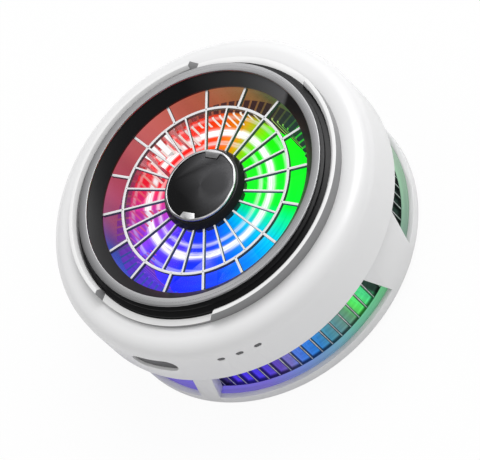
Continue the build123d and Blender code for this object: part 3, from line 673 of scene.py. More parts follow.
class Finishes:
    """Every finish on the object, made once each."""

    def __init__(self) -> None:
        """Lists the finishes by a short word."""
        self.made: dict[str, bpy.types.Material] = {}
        # Moulded: name, colour, roughness, grain size, grain depth, mottling, coat, sheen.
        # Metal: name, colour, roughness, kind of marks, their spacing, their depth, anisotropy.
        self.recipes: dict[str, Moulded | Metal | Lit | EdgeLine | Funnel] = {
            "shell": Moulded("white_gloss_shell", (0.80, 0.80, 0.805), 0.32, 0.30, 0.003, 0.012, 0.35),
            "base": Moulded("white_gloss_base", (0.78, 0.78, 0.785), 0.34, 0.30, 0.003, 0.012, 0.3),
            "collar_top": Moulded("white_collar_top", (0.82, 0.82, 0.82), 0.3, 0.30, 0.003, 0.012, 0.3),
            # The collar's outward faces: the white moulding painted grey as shade.
            "collar_side": Moulded("grey_collar_side", (0.26, 0.26, 0.265), 0.42, 0.22, 0.004, 0.05, 0.1),
            "bezel": Funnel("black_satin_bezel"),
            "trim": Metal("silver_turned_trim", (0.50, 0.50, 0.51), 0.3, Grain.SPUN, 0.12, 0.003, 0.6),
            "wire_top": Moulded("white_guard_wire", (0.76, 0.76, 0.77), 0.3, 0.2, 0.003, 0.02, 0.3),
            # The wires' sides: the white wire painted dark as shade.
            "wire_side_shade": Moulded("shaded_guard_side", (0.10, 0.10, 0.11), 0.5, 0.2, 0.003, 0.05),
            "hub": Moulded("black_hub", (0.008, 0.008, 0.009), 0.33, 0.26, 0.004, 0.2),
            "hub_rim": Metal("silver_hub_rim", (0.66, 0.66, 0.67), 0.32, Grain.SPUN, 0.1, 0.002, 0.6),
            "cap": Metal("spun_black_cap", (0.07, 0.07, 0.073), 0.2, Grain.SPUN, 0.07, 0.0025, 0.95),
            "light_ring": Lit(
                "frosted_light_ring",
                (0.4, 0.36, 0.36),
                strength=0.62,
                haze=0.05,
                own=0.06,
                rough=0.3,
                hues=RING_HUES,
                unrest=(0.62, 1.25),
                shine=0.08,
            ),
            "wheel": Lit(
                "frosted_fan_wheel",
                (0.5, 0.5, 0.55),
                strength=1.05,
                own=0.02,
                highlight_rings=WHEEL_HIGHLIGHT_RINGS,
                rough=0.25,
                unrest=(0.82, 1.1),
                lean=True,
                shine=0.04,
            ),
            # The sink's top glows with painted light and the wheel's painted highlight rings.
            "sink_top": Lit(
                "lit_sink_base",
                (0.3, 0.3, 0.32),
                strength=0.95,
                own=0.02,
                highlight_rings=WHEEL_HIGHLIGHT_RINGS,
                lean=True,
                shine=0.04,
            ),
            "fin_side": Lit(
                "lit_fin_side",
                (0.3, 0.3, 0.32),
                strength=0.85,
                haze=0.04,
                own=0.05,
                rough=0.3,
                hues=FIN_HUES,
                levels=((0.0, 1.0), (29.8, 0.95), (30.3, 0.06), (34.0, 0.05)),
                shine=0.03,
                core=18.0,
            ),
            "ledge": Lit(
                "reflecting_ledge",
                (0.5, 0.5, 0.52),
                strength=0.72,
                haze=0.1,
                own=0.25,
                rough=0.2,
                hues=LEDGE_HUES,
                levels=((0.0, 1.0), (31.2, 1.0), (33.0, 0.5), (34.0, 0.5)),
            ),
            "fin_edge": EdgeLine("bright_fin_edge"),
            "fin_end": Lit(
                "lit_fin_end",
                (0.3, 0.3, 0.32),
                strength=0.9,
                own=0.05,
                rough=0.3,
                hues=END_HUES,
                shine=0.03,
            ),
            "fin_top": Lit(
                "lit_fin_top",
                (0.3, 0.3, 0.32),
                strength=0.5,
                haze=0.05,
                own=0.05,
                rough=0.3,
                hues=RING_HUES,
                core=18.0,
            ),
            "plate": Metal("machined_cold_plate", (0.75, 0.75, 0.77), 0.28, Grain.SPUN, 0.18, 0.004, 0.4),
            "pad": Moulded("silicone_pad", (0.05, 0.05, 0.055), 0.6, 0.35, 0.01, 0.08, 0.0, 0.15),
            "black": Moulded("black_moulding", (0.02, 0.02, 0.022), 0.45, 0.25, 0.005, 0.15),
            "button": Moulded("dark_button", (0.055, 0.055, 0.058), 0.42, 0.25, 0.005, 0.1, 0.1),
            "lens": Moulded("smoked_lens", (0.045, 0.045, 0.05), 0.15, 0.6, 0.001, 0.1, 0.6),
            "steel": Metal("plated_steel", (0.55, 0.55, 0.56), 0.32, Grain.DRAWN, 0.15, 0.003),
            "dark_steel": Metal("blackened_steel", (0.08, 0.08, 0.085), 0.4, Grain.CAST, 0.2, 0.003),
            "brass": Metal("turned_brass", (0.72, 0.53, 0.24), 0.3, Grain.SPUN, 0.12, 0.003),
            "bronze": Metal("sintered_bronze", (0.45, 0.30, 0.17), 0.5, Grain.CAST, 0.1, 0.005),
            "copper": Metal("enamelled_winding", (0.60, 0.26, 0.10), 0.3, Grain.DRAWN, 0.12, 0.02),
            "nickel": Metal("nickel_plated_magnet", (0.6, 0.6, 0.58), 0.25, Grain.CAST, 0.4, 0.002),
            "ceramic": Moulded("fired_ceramic", (0.78, 0.78, 0.75), 0.5, 0.1, 0.004, 0.04),
            "pellet": Metal("sintered_pellet", (0.35, 0.35, 0.37), 0.5, Grain.CAST, 0.15, 0.006),
            "foam": Moulded("grey_insulation", (0.22, 0.22, 0.225), 0.75, 0.3, 0.02, 0.12),
            "board": Moulded("green_solder_mask", (0.015, 0.11, 0.05), 0.35, 0.6, 0.006, 0.12, 0.3),
            "white_board": Moulded("white_solder_mask", (0.7, 0.7, 0.68), 0.35, 0.6, 0.006, 0.05, 0.2),
            "lamp": Moulded("lamp_body", (0.75, 0.73, 0.62), 0.3, 0.5, 0.003, 0.06, 0.3),
            "nylon": Moulded("nylon_pad", (0.65, 0.63, 0.56), 0.45, 0.3, 0.004, 0.05),
            "magnet": Moulded("bonded_magnet", (0.05, 0.05, 0.052), 0.55, 0.1, 0.006, 0.2),
            "can": Metal("capacitor_can", (0.6, 0.6, 0.62), 0.25, Grain.DRAWN, 0.2, 0.002),
        }

    def get(self, word: str) -> bpy.types.Material:
        """Returns a finish's material, built at its first use.

        Args:
            word: the finish's short word.

        Returns:
            The material.
        """
        if word not in self.made:
            self.made[word] = self.recipes[word].build()
        return self.made[word]


FINISHES = Finishes()


def soften(outline: Sequence[Point], radius: float, steps: int = 4) -> list[Point]:
    """Rounds every corner of a closed outline.

    Args:
        outline: its corners in order, in millimetres.
        radius: the rounding, cut down where a side is short.
        steps: how many points each rounding gets, less one.

    Returns:
        The new outline.
    """
    made: list[Point] = []
    count = len(outline)
    for index, corner in enumerate(outline):
        here = Vector(corner)
        before = Vector(outline[index - 1]) - here
        after = Vector(outline[(index + 1) % count]) - here
        if corner[0] == 0.0:
            made.append(corner)
            continue
        opening = before.angle(after)
        reach = min(radius / math.tan(opening / 2.0), before.length * 0.45, after.length * 0.45)
        if opening > math.pi - 0.05 or reach <= 0.0:
            made.append(corner)
            continue
        start = here + before.normalized() * reach
        end = here + after.normalized() * reach
        for step in range(steps + 1):
            way = step / steps
            point = start.lerp(here, way).lerp(here.lerp(end, way), way)
            made.append((point.x, point.y))
    return made


def polar(radius: float, angle: float) -> Point:
    """Returns a flat point from its distance and angle.

    Args:
        radius: the distance from the axis.
        angle: the angle in radians.

    Returns:
        The point.
    """
    return radius * math.cos(angle), radius * math.sin(angle)


def rect(left: float, right: float, low: float, high: float) -> list[Point]:
    """Returns a rectangle's corners in order.

    Args:
        left: the least first coordinate.
        right: the greatest first coordinate.
        low: the least second coordinate.
        high: the greatest second coordinate.

    Returns:
        The corners.
    """
    return [(left, low), (right, low), (right, high), (left, high)]


def from_bmesh(shape: bmesh.types.BMesh, name: str) -> Mesh:
    """Turns a bmesh into a mesh with outward faces.

    Args:
        shape: the bmesh, freed here.
        name: the mesh's name.

    Returns:
        The mesh.
    """
    bmesh.ops.recalc_face_normals(shape, faces=shape.faces[:])
    mesh = bpy.data.meshes.new(name)
    shape.to_mesh(mesh)
    shape.free()
    return mesh


def lathe(name: str, outline: Sequence[Point], steps: int = 192) -> Mesh:
    """Sweeps a closed outline of radius and height about Z.

    Args:
        name: the mesh's name.
        outline: the points in millimetres.
        steps: how many steps round the axis.

    Returns:
        The mesh.
    """
    shape = bmesh.new()
    columns: list[list[bmesh.types.BMVert]] = []
    for radius, height in outline:
        if radius == 0.0:
            pole = shape.verts.new((0.0, 0.0, height * MM))
            columns.append([pole] * steps)
            continue
        column = []
        for step in range(steps):
            x, y = polar(radius, 2.0 * math.pi * step / steps)
            column.append(shape.verts.new((x * MM, y * MM, height * MM)))
        columns.append(column)
    for index, column in enumerate(columns):
        other = columns[(index + 1) % len(columns)]
        for step in range(steps):
            after = (step + 1) % steps
            corners = []
            for corner in (column[step], column[after], other[after], other[step]):
                if corner not in corners:
                    corners.append(corner)
            if len(corners) > 2:
                shape.faces.new(corners)
    return from_bmesh(shape, name)


def prism(name: str, outline: Sequence[Point], low: float, high: float, place: Matrix | None = None) -> Mesh:
    """Raises a flat outline into a closed solid.

    Args:
        name: the mesh's name.
        outline: the corners in millimetres.
        low: the height of the lower face.
        high: the height of the upper face.
        place: where the solid goes, in millimetres.

    Returns:
        The mesh.
    """
    shape = bmesh.new()
    rings = []
    for height in (low, high):
        rings.append([shape.verts.new((x, y, height)) for x, y in outline])
    shape.faces.new(rings[0])
    shape.faces.new(rings[1])
    count = len(outline)
    for index in range(count):
        after = (index + 1) % count
        shape.faces.new((rings[0][index], rings[0][after], rings[1][after], rings[1][index]))
    bmesh.ops.transform(shape, matrix=Matrix.Scale(MM, 4) @ (place or Matrix()), verts=shape.verts[:])
    return from_bmesh(shape, name)


def stadium(width: float, tall: float, steps: int = 12) -> list[Point]:
    """Returns an upright-ended slot outline with round ends, in millimetres.

    Args:
        width: its whole width.
        tall: its height.
        steps: how many steps each round end gets.

    Returns:
        The outline.
    """
    radius = tall / 2.0
    half = width / 2.0 - radius
    made = []
    for side in (1.0, -1.0):
        for step in range(steps + 1):
            angle = math.pi * step / steps - math.pi / 2.0
            made.append((side * (half + radius * math.cos(angle)), side * radius * math.sin(angle)))
    return made


def facing(angle: float, height: float) -> Matrix:
    """Returns the turn that lays an outline's Z outward at an angle, with its Y up, in millimetres.

    Args:
        angle: the angle about Z in degrees.
        height: the height of the outline's middle.

    Returns:
        The matrix.
    """
    turn = math.radians(angle)
    columns = Matrix(
        (
            (-math.sin(turn), 0.0, math.cos(turn)),
            (math.cos(turn), 0.0, math.sin(turn)),
            (0.0, 1.0, 0.0),
        )
    )
    return Matrix.Translation((0.0, 0.0, height)) @ columns.to_4x4()


def temporary(mesh: Mesh) -> bpy.types.Object:
    """Puts a mesh in the scene for a moment.

    Args:
        mesh: the mesh.

    Returns:
        The object.
    """
    made = bpy.data.objects.new("temporary", mesh)
    bpy.context.scene.collection.objects.link(made)
    return made


def applied(target: bpy.types.Object) -> Mesh:
    """Returns an object's mesh with its modifiers, and removes the object.

    Args:
        target: the object.

    Returns:
        The mesh.
    """
    bpy.context.view_layer.update()
    graph = bpy.context.evaluated_depsgraph_get()
    mesh = bpy.data.meshes.new_from_object(target.evaluated_get(graph))
    bpy.data.objects.remove(target)
    return mesh


def cut(mesh: Mesh, cutters: Sequence[Mesh]) -> Mesh:
    """Takes solids away from a solid.

    Args:
        mesh: the solid.
        cutters: what is taken away.

    Returns:
        The rest.
    """
    target = temporary(mesh)
    others = []
    for cutter in cutters:
        other = temporary(cutter)
        others.append(other)
        modifier = target.modifiers.new("cut", "BOOLEAN")
        modifier.operation = "DIFFERENCE"
        modifier.solver = "EXACT"
        modifier.object = other
    made = applied(target)
    for other in others:
        bpy.data.objects.remove(other)
    return made


def eased(mesh: Mesh, width: float, segments: int, limit: float = SHARP) -> Mesh:
    """Rounds a solid's sharp edges a little.

    Args:
        mesh: the solid.
        width: the width of the rounding in millimetres.
        segments: how many faces it gets.
        limit: the smallest edge angle that counts as sharp, in degrees.

    Returns:
        The rounded solid.
    """
    target = temporary(mesh)
    modifier = target.modifiers.new("ease", "BEVEL")
    modifier.width = width * MM
    modifier.segments = segments
    modifier.limit_method = "ANGLE"
    modifier.angle_limit = math.radians(limit)
    modifier.use_clamp_overlap = True
    return applied(target)


def joined(name: str, meshes: Sequence[Mesh]) -> Mesh:
    """Joins meshes into one, with their materials kept.

    Args:
        name: the new mesh's name.
        meshes: the meshes.

    Returns:
        The new mesh.
    """
    shape = bmesh.new()
    materials: list[bpy.types.Material] = []
    for mesh in meshes:
        start = len(shape.faces)
        shape.from_mesh(mesh)
        shape.faces.ensure_lookup_table()
        for face in shape.faces[start:]:
            if mesh.materials:
                material = mesh.materials[min(face.material_index, len(mesh.materials) - 1)]
                if material not in materials:
                    materials.append(material)
                face.material_index = materials.index(material)
    made = bpy.data.meshes.new(name)
    shape.to_mesh(made)
    shape.free()
    for material in materials:
        made.materials.append(material)
    return made


def round_pattern_tree() -> bpy.types.NodeTree:
    """Builds the tree that repeats a piece about Z, with its count, start and step as named inputs.

    Returns:
        The tree.
    """
    tree = bpy.data.node_groups.new("round_pattern", "GeometryNodeTree")
    face = tree.interface
    kinds = {"Geometry": "Geometry", "Count": "Int", "Start": "Float", "Step": "Float", "Finish": "Material"}
    for name, kind in kinds.items():
        face.new_socket(name, in_out="INPUT", socket_type=f"NodeSocket{kind}")
    face.new_socket("Geometry", in_out="OUTPUT", socket_type="NodeSocketGeometry")
    links = tree.links
    given = tree.nodes.new("NodeGroupInput")
    result = tree.nodes.new("NodeGroupOutput")
    points = tree.nodes.new("GeometryNodePoints")
    index = tree.nodes.new("GeometryNodeInputIndex")
    turn = tree.nodes.new("ShaderNodeMath")
    turn.operation = "MULTIPLY_ADD"
    euler = tree.nodes.new("ShaderNodeCombineXYZ")
    copies = tree.nodes.new("GeometryNodeInstanceOnPoints")
    solid = tree.nodes.new("GeometryNodeRealizeInstances")
    dress = tree.nodes.new("GeometryNodeSetMaterial")
    links.new(given.outputs["Count"], points.inputs["Count"])
    links.new(index.outputs[0], turn.inputs[0])
    links.new(given.outputs["Step"], turn.inputs[1])
    links.new(given.outputs["Start"], turn.inputs[2])
    links.new(turn.outputs[0], euler.inputs["Z"])
    links.new(points.outputs[0], copies.inputs["Points"])
    links.new(given.outputs["Geometry"], copies.inputs["Instance"])
    links.new(euler.outputs[0], copies.inputs["Rotation"])
    links.new(copies.outputs[0], solid.inputs[0])
    links.new(solid.outputs[0], dress.inputs["Geometry"])
    links.new(given.outputs["Finish"], dress.inputs["Material"])
    links.new(dress.outputs[0], result.inputs[0])
    return tree


class RoundPattern:
    """Repeats a piece about Z with Geometry Nodes."""

    tree: bpy.types.NodeTree | None = None

    @classmethod
    def repeat(cls, mesh: Mesh, count: int, start: float, step: float, word: str) -> Mesh:
        """Repeats one mesh.

        Args:
            mesh: the piece.
            count: how many copies.
            start: the first copy's angle in degrees.
            step: the angle between copies in degrees.
            word: the short word of the copies' finish.

        Returns:
            One plain mesh of all the copies.
        """
        if cls.tree is None:
            cls.tree = round_pattern_tree()
        target = temporary(mesh)
        modifier = target.modifiers.new("pattern", "NODES")
        modifier.node_group = cls.tree
        turns = {"Start": math.radians(start), "Step": math.radians(step)}
        values = {"Count": count, **turns, "Finish": FINISHES.get(word)}
        for item in cls.tree.interface.items_tree:
            if item.in_out == "INPUT" and item.name in values:
                modifier[item.identifier] = values[item.name]
        return applied(target)


def add_piece(
    node: str,
    mesh: Mesh,
    finishes: Sequence[str],
    choose: Callable[[Face], int] | None = None,
    body: str = CASE,
) -> None:
    """Adds one finished piece that stands for a CAD node.

    Args:
        node: the CAD node that it replaces.
        mesh: its mesh, in place.
        finishes: the short words of its finishes.
        choose: picks a face's finish by number.
        body: the body that it rides on.
    """
    mesh.name = f"{node}_fine"
    mesh.materials.clear()
    for word in finishes:
        mesh.materials.append(FINISHES.get(word))
    for polygon in mesh.polygons:
        polygon.material_index = choose(polygon) if choose else 0
        polygon.use_smooth = True
    mesh.set_sharp_from_angle(angle=math.radians(SHARP))
    made = bpy.data.objects.new(mesh.name, mesh)
    bpy.context.scene.collection.objects.link(made)
    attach(made, body)
    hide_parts(node)
    LOG.info("%s: %d faces on %s", made.name, len(mesh.polygons), body)


def dress(words: dict[str, str]) -> None:
    """Gives CAD nodes their finishes.

    Args:
        words: the node's name to the finish's short word.
    """
    for node, word in words.items():
        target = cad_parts[node]
        if not target.material_slots:
            target.data.materials.append(None)
        for slot in target.material_slots:
            slot.material = FINISHES.get(word)
        LOG.info("%s: CAD node with %s", node, word)


def refined(node: str, width: float, segments: int) -> Mesh:
    """Copies a CAD node's mesh, merges it and rounds its edges.

    Args:
        node: the node's name.
        width: the width of the rounding in millimetres.
        segments: how many faces the rounding gets.

    Returns:
        The new mesh.
    """
    shape = bmesh.new()
    shape.from_mesh(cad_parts[node].data)
    bmesh.ops.remove_doubles(shape, verts=shape.verts[:], dist=WELD * MM)
    flat = math.radians(FLAT)
    bmesh.ops.dissolve_limit(shape, angle_limit=flat, verts=shape.verts[:], edges=shape.edges[:])
    mesh = bpy.data.meshes.new(node)
    shape.to_mesh(mesh)
    shape.free()
    return eased(mesh, width, segments)


def refine(node: str, width: float, word: str, segments: int = 2, body: str = CASE) -> None:
    """Adds a CAD node's own shape with rounded edges.

    Args:
        node: the node's name.
        width: the width of the rounding in millimetres.
        word: the finish's short word.
        segments: how many faces the rounding gets.
        body: the body that it rides on.
    """
    add_piece(node, refined(node, width, segments), [word], body=body)


@dataclass(frozen=True)
class Opening:
    """One oblong opening in the dome's wall."""

    name: str
    angle: float
    level: float
    width: float
    tall: float
    start: float = 30.0
    steps: int = 16

    def cutter(self) -> Mesh:
        """Returns the solid that is taken out of the wall."""
        place = facing(self.angle, self.level)
        return prism(self.name, stadium(self.width, self.tall, self.steps), self.start, FAR, place)


@dataclass(frozen=True)
class Posts:
    """One kind of screw post under the crown."""

    angles: tuple[float, ...]
    circle: float
    radius: float
    pilot: float
    low: float
    high: float = 24.6

    def build(self) -> list[Mesh]:
        """Returns the posts in place."""
        outline = rect(self.pilot, self.radius, self.low, self.high)
        post = lathe("post", soften(outline, 0.1, 2), 32)
        shift = Matrix.Translation((self.circle * MM, 0.0, 0.0))
        made = []
        for angle in self.angles:
            copy = post.copy()
            copy.transform(Matrix.Rotation(math.radians(angle), 4, "Z") @ shift)
            made.append(copy)
        return made


OPENINGS = (
    Opening("button_room", -90.0, 21.07, 10.3, 4.3),
    Opening("inlet_room", -122.0, 21.65, 9.14, 3.46),
    Opening("inlet_recess", -122.0, 21.65, 10.04, 4.36, 34.0),
    *(Opening("lens_room", angle, 21.8, 1.6, 1.05, steps=10) for angle in (-52.1, -58.6, -65.1)),
)

POSTS = (
    Posts((0.0, 90.0, 180.0), 31.2, 2.0, 0.82, 17.2),
    Posts((-148.0, -76.0, -38.0), 30.6, 1.2, 0.52, 20.02),
)


@dataclass
class Shells:
    """The white shells and the stepped collar."""

    body: float = 34.8
    wall: float = 1.8
    crown: float = 26.3
    edge: float = 14.7
    shoulder: float = 3.4
    mouth: float = 27.6
    lip: float = 0.1
    edge_round: float = 0.22
    cut_half: float = 12.8
    ramp: float = 1.0
    collar_inner: float = 27.7
    collar_outer: float = 29.1
    collar_top: float = 28.85
    collar_chamfer: float = 0.65
    ledge: float = 27.15
    above: float = 32.0

    def arc(self, radius: float, first: float, last: float, steps: int) -> list[Point]:
        """Returns points on the shoulder's arc.

        Args:
            radius: its radius.
            first: the first angle in degrees.
            last: the last angle in degrees.
            steps: how many steps.

        Returns:
            The points.
        """
        made = []
        for step in range(steps + 1):
            out, up = polar(radius, math.radians(first + (last - first) * step / steps))
            made.append((self.body - self.shoulder + out, self.crown - self.shoulder + up))
        return made

    def front(self) -> None:
        """Makes the front shell with its openings."""
        inner = self.body - self.wall
        spring = self.crown - self.shoulder
        wall = [(inner, spring), (inner, self.edge), (self.body, self.edge), (self.body, spring)]
        outline = [point for point in soften(wall, self.edge_round) if point[1] < spring - 0.3]
        outline += self.arc(self.shoulder, 0.0, 90.0, 16)
        outline += [(self.mouth + self.lip, self.crown), (self.mouth, self.crown - self.lip)]
        outline += [(self.mouth, self.crown - self.wall)]
        outline += self.arc(self.shoulder - self.wall, 90.0, 0.0, 8)
        shell = lathe("front_shell", outline, 256)
        shell = eased(cut(shell, [opening.cutter() for opening in OPENINGS]), 0.14, 3, EASE_LIMIT)
        posts = [post for kind in POSTS for post in kind.build()]
        add_piece("front_shell", joined("front", [shell, *posts]), ["shell"])

    def collar(self) -> None:
        """Makes the stepped collar with its two cut-outs."""
        outline = [
            (self.collar_inner, self.crown),
            (self.collar_outer, self.crown),
            (self.collar_outer, self.collar_top),
            (self.collar_inner + self.collar_chamfer, self.collar_top),
            (self.collar_inner, self.collar_top - self.collar_chamfer),
        ]
        ring = lathe("collar", soften(outline, 0.14, 3), 256)
        half = self.cut_half
        wide = half + self.ramp
        opening = [
            (-half, self.ledge),
            (half, self.ledge),
            (wide, self.collar_top),
            (wide, self.above),
            (-wide, self.above),
            (-wide, self.collar_top),
        ]
        stand = Matrix.Rotation(math.radians(90.0), 4, "X")
        ring = cut(ring, [prism("gap", opening, -FAR, FAR, stand)])
        ring = eased(ring, 0.1, 2, EASE_LIMIT)

        def side_or_top(polygon: Face) -> int:
            """Picks the grey painted shade for faces that look outward.

            Args:
                polygon: the face.

            Returns:
                The finish's number.
            """
            middle = polygon.center
            outward = Vector((middle.x, middle.y, 0.0)).normalized()
            flank = polygon.normal.dot(outward) > 0.6
            slanted = abs(polygon.normal.z) < 0.75 and abs(polygon.normal.x) > 0.5
            ramp_end = slanted and abs(middle.x) < (wide + 0.2) * MM
            return 1 if flank or ramp_end else 0

        add_piece("crown_collar", ring, ["collar_top", "collar_side"], choose=side_or_top)

    def build(self) -> None:
        """Builds the shells; the rear one keeps its CAD shape with its four windows."""
        self.front()
        self.collar()
        refine("rear_shell", 0.1, "base")
        refine("case_screws", 0.06, "dark_steel")


@dataclass
class Bezel:
    """The black bezel and its silver trim."""

    throat: float = 22.3
    throat_top: float = 27.6
    seat: float = 26.0
    brow: float = 26.7
    neck: float = 26.5
    skirt: float = 27.5
    foot: float = 29.0
    wall: float = 26.4
    groove_top: float = 28.5
    foot_top: float = 24.5
    foot_low: float = 23.6
    bottom: float = 27.1
    top: float = 29.5
    rim_inner: float = 24.5
    rim_outer: float = 26.25
    height: float = 30.0

    def build(self) -> None:
        """Builds both rings."""
        outline = [
            (self.throat, self.bottom),
            (self.throat, self.throat_top),
            (self.rim_inner, self.top),
            (self.seat, self.top),
            (self.seat, self.top - 0.3),
            (self.brow, self.top - 0.6),
            (self.brow, self.groove_top),
            (self.neck, self.groove_top),
            (self.neck, self.groove_top - 0.3),
            (self.skirt, self.groove_top - 0.8),
            (self.skirt, self.foot_top),
            (self.foot, self.foot_top),
            (self.foot, self.foot_low),
            (self.wall, self.foot_low),
            (self.wall, self.bottom),
        ]
        mesh = lathe("bezel", soften(outline, 0.09, 3), 256)
        add_piece("bezel_body", mesh, ["bezel"])
        trim = rect(self.rim_inner, self.rim_outer, self.top, self.height)
        mesh = lathe("trim", soften(trim, 0.14, 4), 256)
        add_piece("trim_ring", mesh, ["trim"])


@dataclass
class Guard:
    """The wire guard and the hub on it."""

    low: float = 26.3
    high: float = 27.1
    ring: float = 18.0
    wire: float = 0.6
    spoke: float = 0.42
    tie: float = 0.56
    inner: float = 8.25
    rim_inner: float = 22.4
    rim_outer: float = 24.0
    spokes: int = 24
    first_spoke: float = 7.5
    ties: int = 16
    softness: float = 0.12
    hub_top: float = 28.5
    hub_edge: float = 8.0
    hub_wall: float = 8.35
    hub_flange: float = 8.75
    hub_low: float = 25.9
    notch_half: float = 0.31
    boss: float = 3.0
    pilot: float = 1.02

    def bar(self, width: float, start: float, end: float) -> Mesh:
        """Returns one straight radial wire with softened edges.

        Args:
            width: its width.
            start: its inner end's distance from the axis.
            end: its outer end's distance.

        Returns:
            The mesh.
        """
        half = width / 2.0
        outline = soften(rect(-half, half, self.low, self.high), self.softness, 2)
        return prism("bar", outline, start, end, facing(0.0, 0.0))

    def ring_mesh(self, inner: float, outer: float) -> Mesh:
        """Returns one round wire.

        Args:
            inner: its inner radius.
            outer: its outer radius.

        Returns:
            The mesh.
        """
        outline = rect(inner, outer, self.low, self.high)
        return lathe("ring", soften(outline, self.softness, 2), 192)

    def wires(self) -> None:
        """Makes the guard."""
        core = self.ring_mesh(self.inner - 1.0, self.inner)
        middle = self.ring_mesh(self.ring - self.wire / 2.0, self.ring + self.wire / 2.0)
        rim = self.ring_mesh(self.rim_inner, self.rim_outer)
        spoke = self.bar(self.spoke, self.inner - ROOT, self.ring)
        spokes = RoundPattern.repeat(spoke, self.spokes, self.first_spoke, 360.0 / self.spokes, "wire_top")
        tie = self.bar(self.tie, self.ring, self.rim_inner + ROOT)
        ties = RoundPattern.repeat(tie, self.ties, 0.0, 360.0 / self.ties, "wire_top")
        mesh = joined("guard", [core, middle, rim, spokes, ties])

        def top_or_side(polygon: Face) -> int:
            """Picks the painted shade for the sides and the light ring's painted glow for the rim.

            Args:
                polygon: the face.

            Returns:
                The finish's number.
            """
            middle_radius = math.hypot(polygon.center.x, polygon.center.y)
            if middle_radius > (self.rim_inner - 0.05) * MM:
                # The rim gets the light ring's glow as painted coloured light.
                return 2
            return 0 if polygon.normal.z > 0.5 else 1

        finishes = ["wire_top", "wire_side_shade", "light_ring"]
        add_piece("wire_guard", mesh, finishes, choose=top_or_side)

    def hub(self) -> None:
        """Makes the hub's housing, rim and cap."""
        outline = [
            (0.0, self.high),
            (self.hub_wall, self.high),
            (self.hub_wall, self.hub_low),
            (self.hub_flange, self.hub_low),
            (self.hub_flange, self.high),
            (self.hub_edge, self.hub_top),
            (0.0, self.hub_top),
        ]
        body = lathe("hub", soften(outline, self.softness, 3), 192)
        across = rect(self.hub_wall - 0.15, self.hub_flange + 0.15, -self.notch_half, self.notch_half)
        notch = prism("notch", across, self.hub_low - 0.9, self.high)
        notches = RoundPattern.repeat(notch, self.spokes, self.first_spoke, 360.0 / self.spokes, "hub")
        body = cut(body, [notches])
        boss = lathe("boss", rect(self.pilot, self.boss, self.low, self.high + 0.05), 48)
        add_piece("hub_housing", joined("hub", [body, boss]), ["hub"])
        refine("hub_rim", 0.07, "hub_rim")
        refine("hub_cap", 0.05, "cap")
        dress({"hub_clamp": "black", "hub_screw": "steel"})

    def build(self) -> None:
        """Builds the guard and its hub."""
        self.wires()
        self.hub()


@dataclass
class LightRing:
    """The translucent ring with its lamps and their board."""

    inner: float = 22.4
    outer: float = 26.3
    low: float = 21.4
    high: float = 26.3
    lip: float = 1.0
    lip_outer: float = 23.9

    def build(self) -> None:
        """Builds the ring and dresses its lamps."""
        outline = [
            (self.inner, self.low),
            (self.outer, self.low),
            (self.outer, self.high - self.lip),
            (self.lip_outer, self.high - self.lip),
            (self.lip_outer, self.high),
            (self.inner, self.high),
        ]
        mesh = lathe("light_ring", soften(outline, 0.12, 3), 192)
        add_piece("light_ring", mesh, ["light_ring"])
        dress({"lamp_board": "white_board", "colour_lamps": "lamp"})


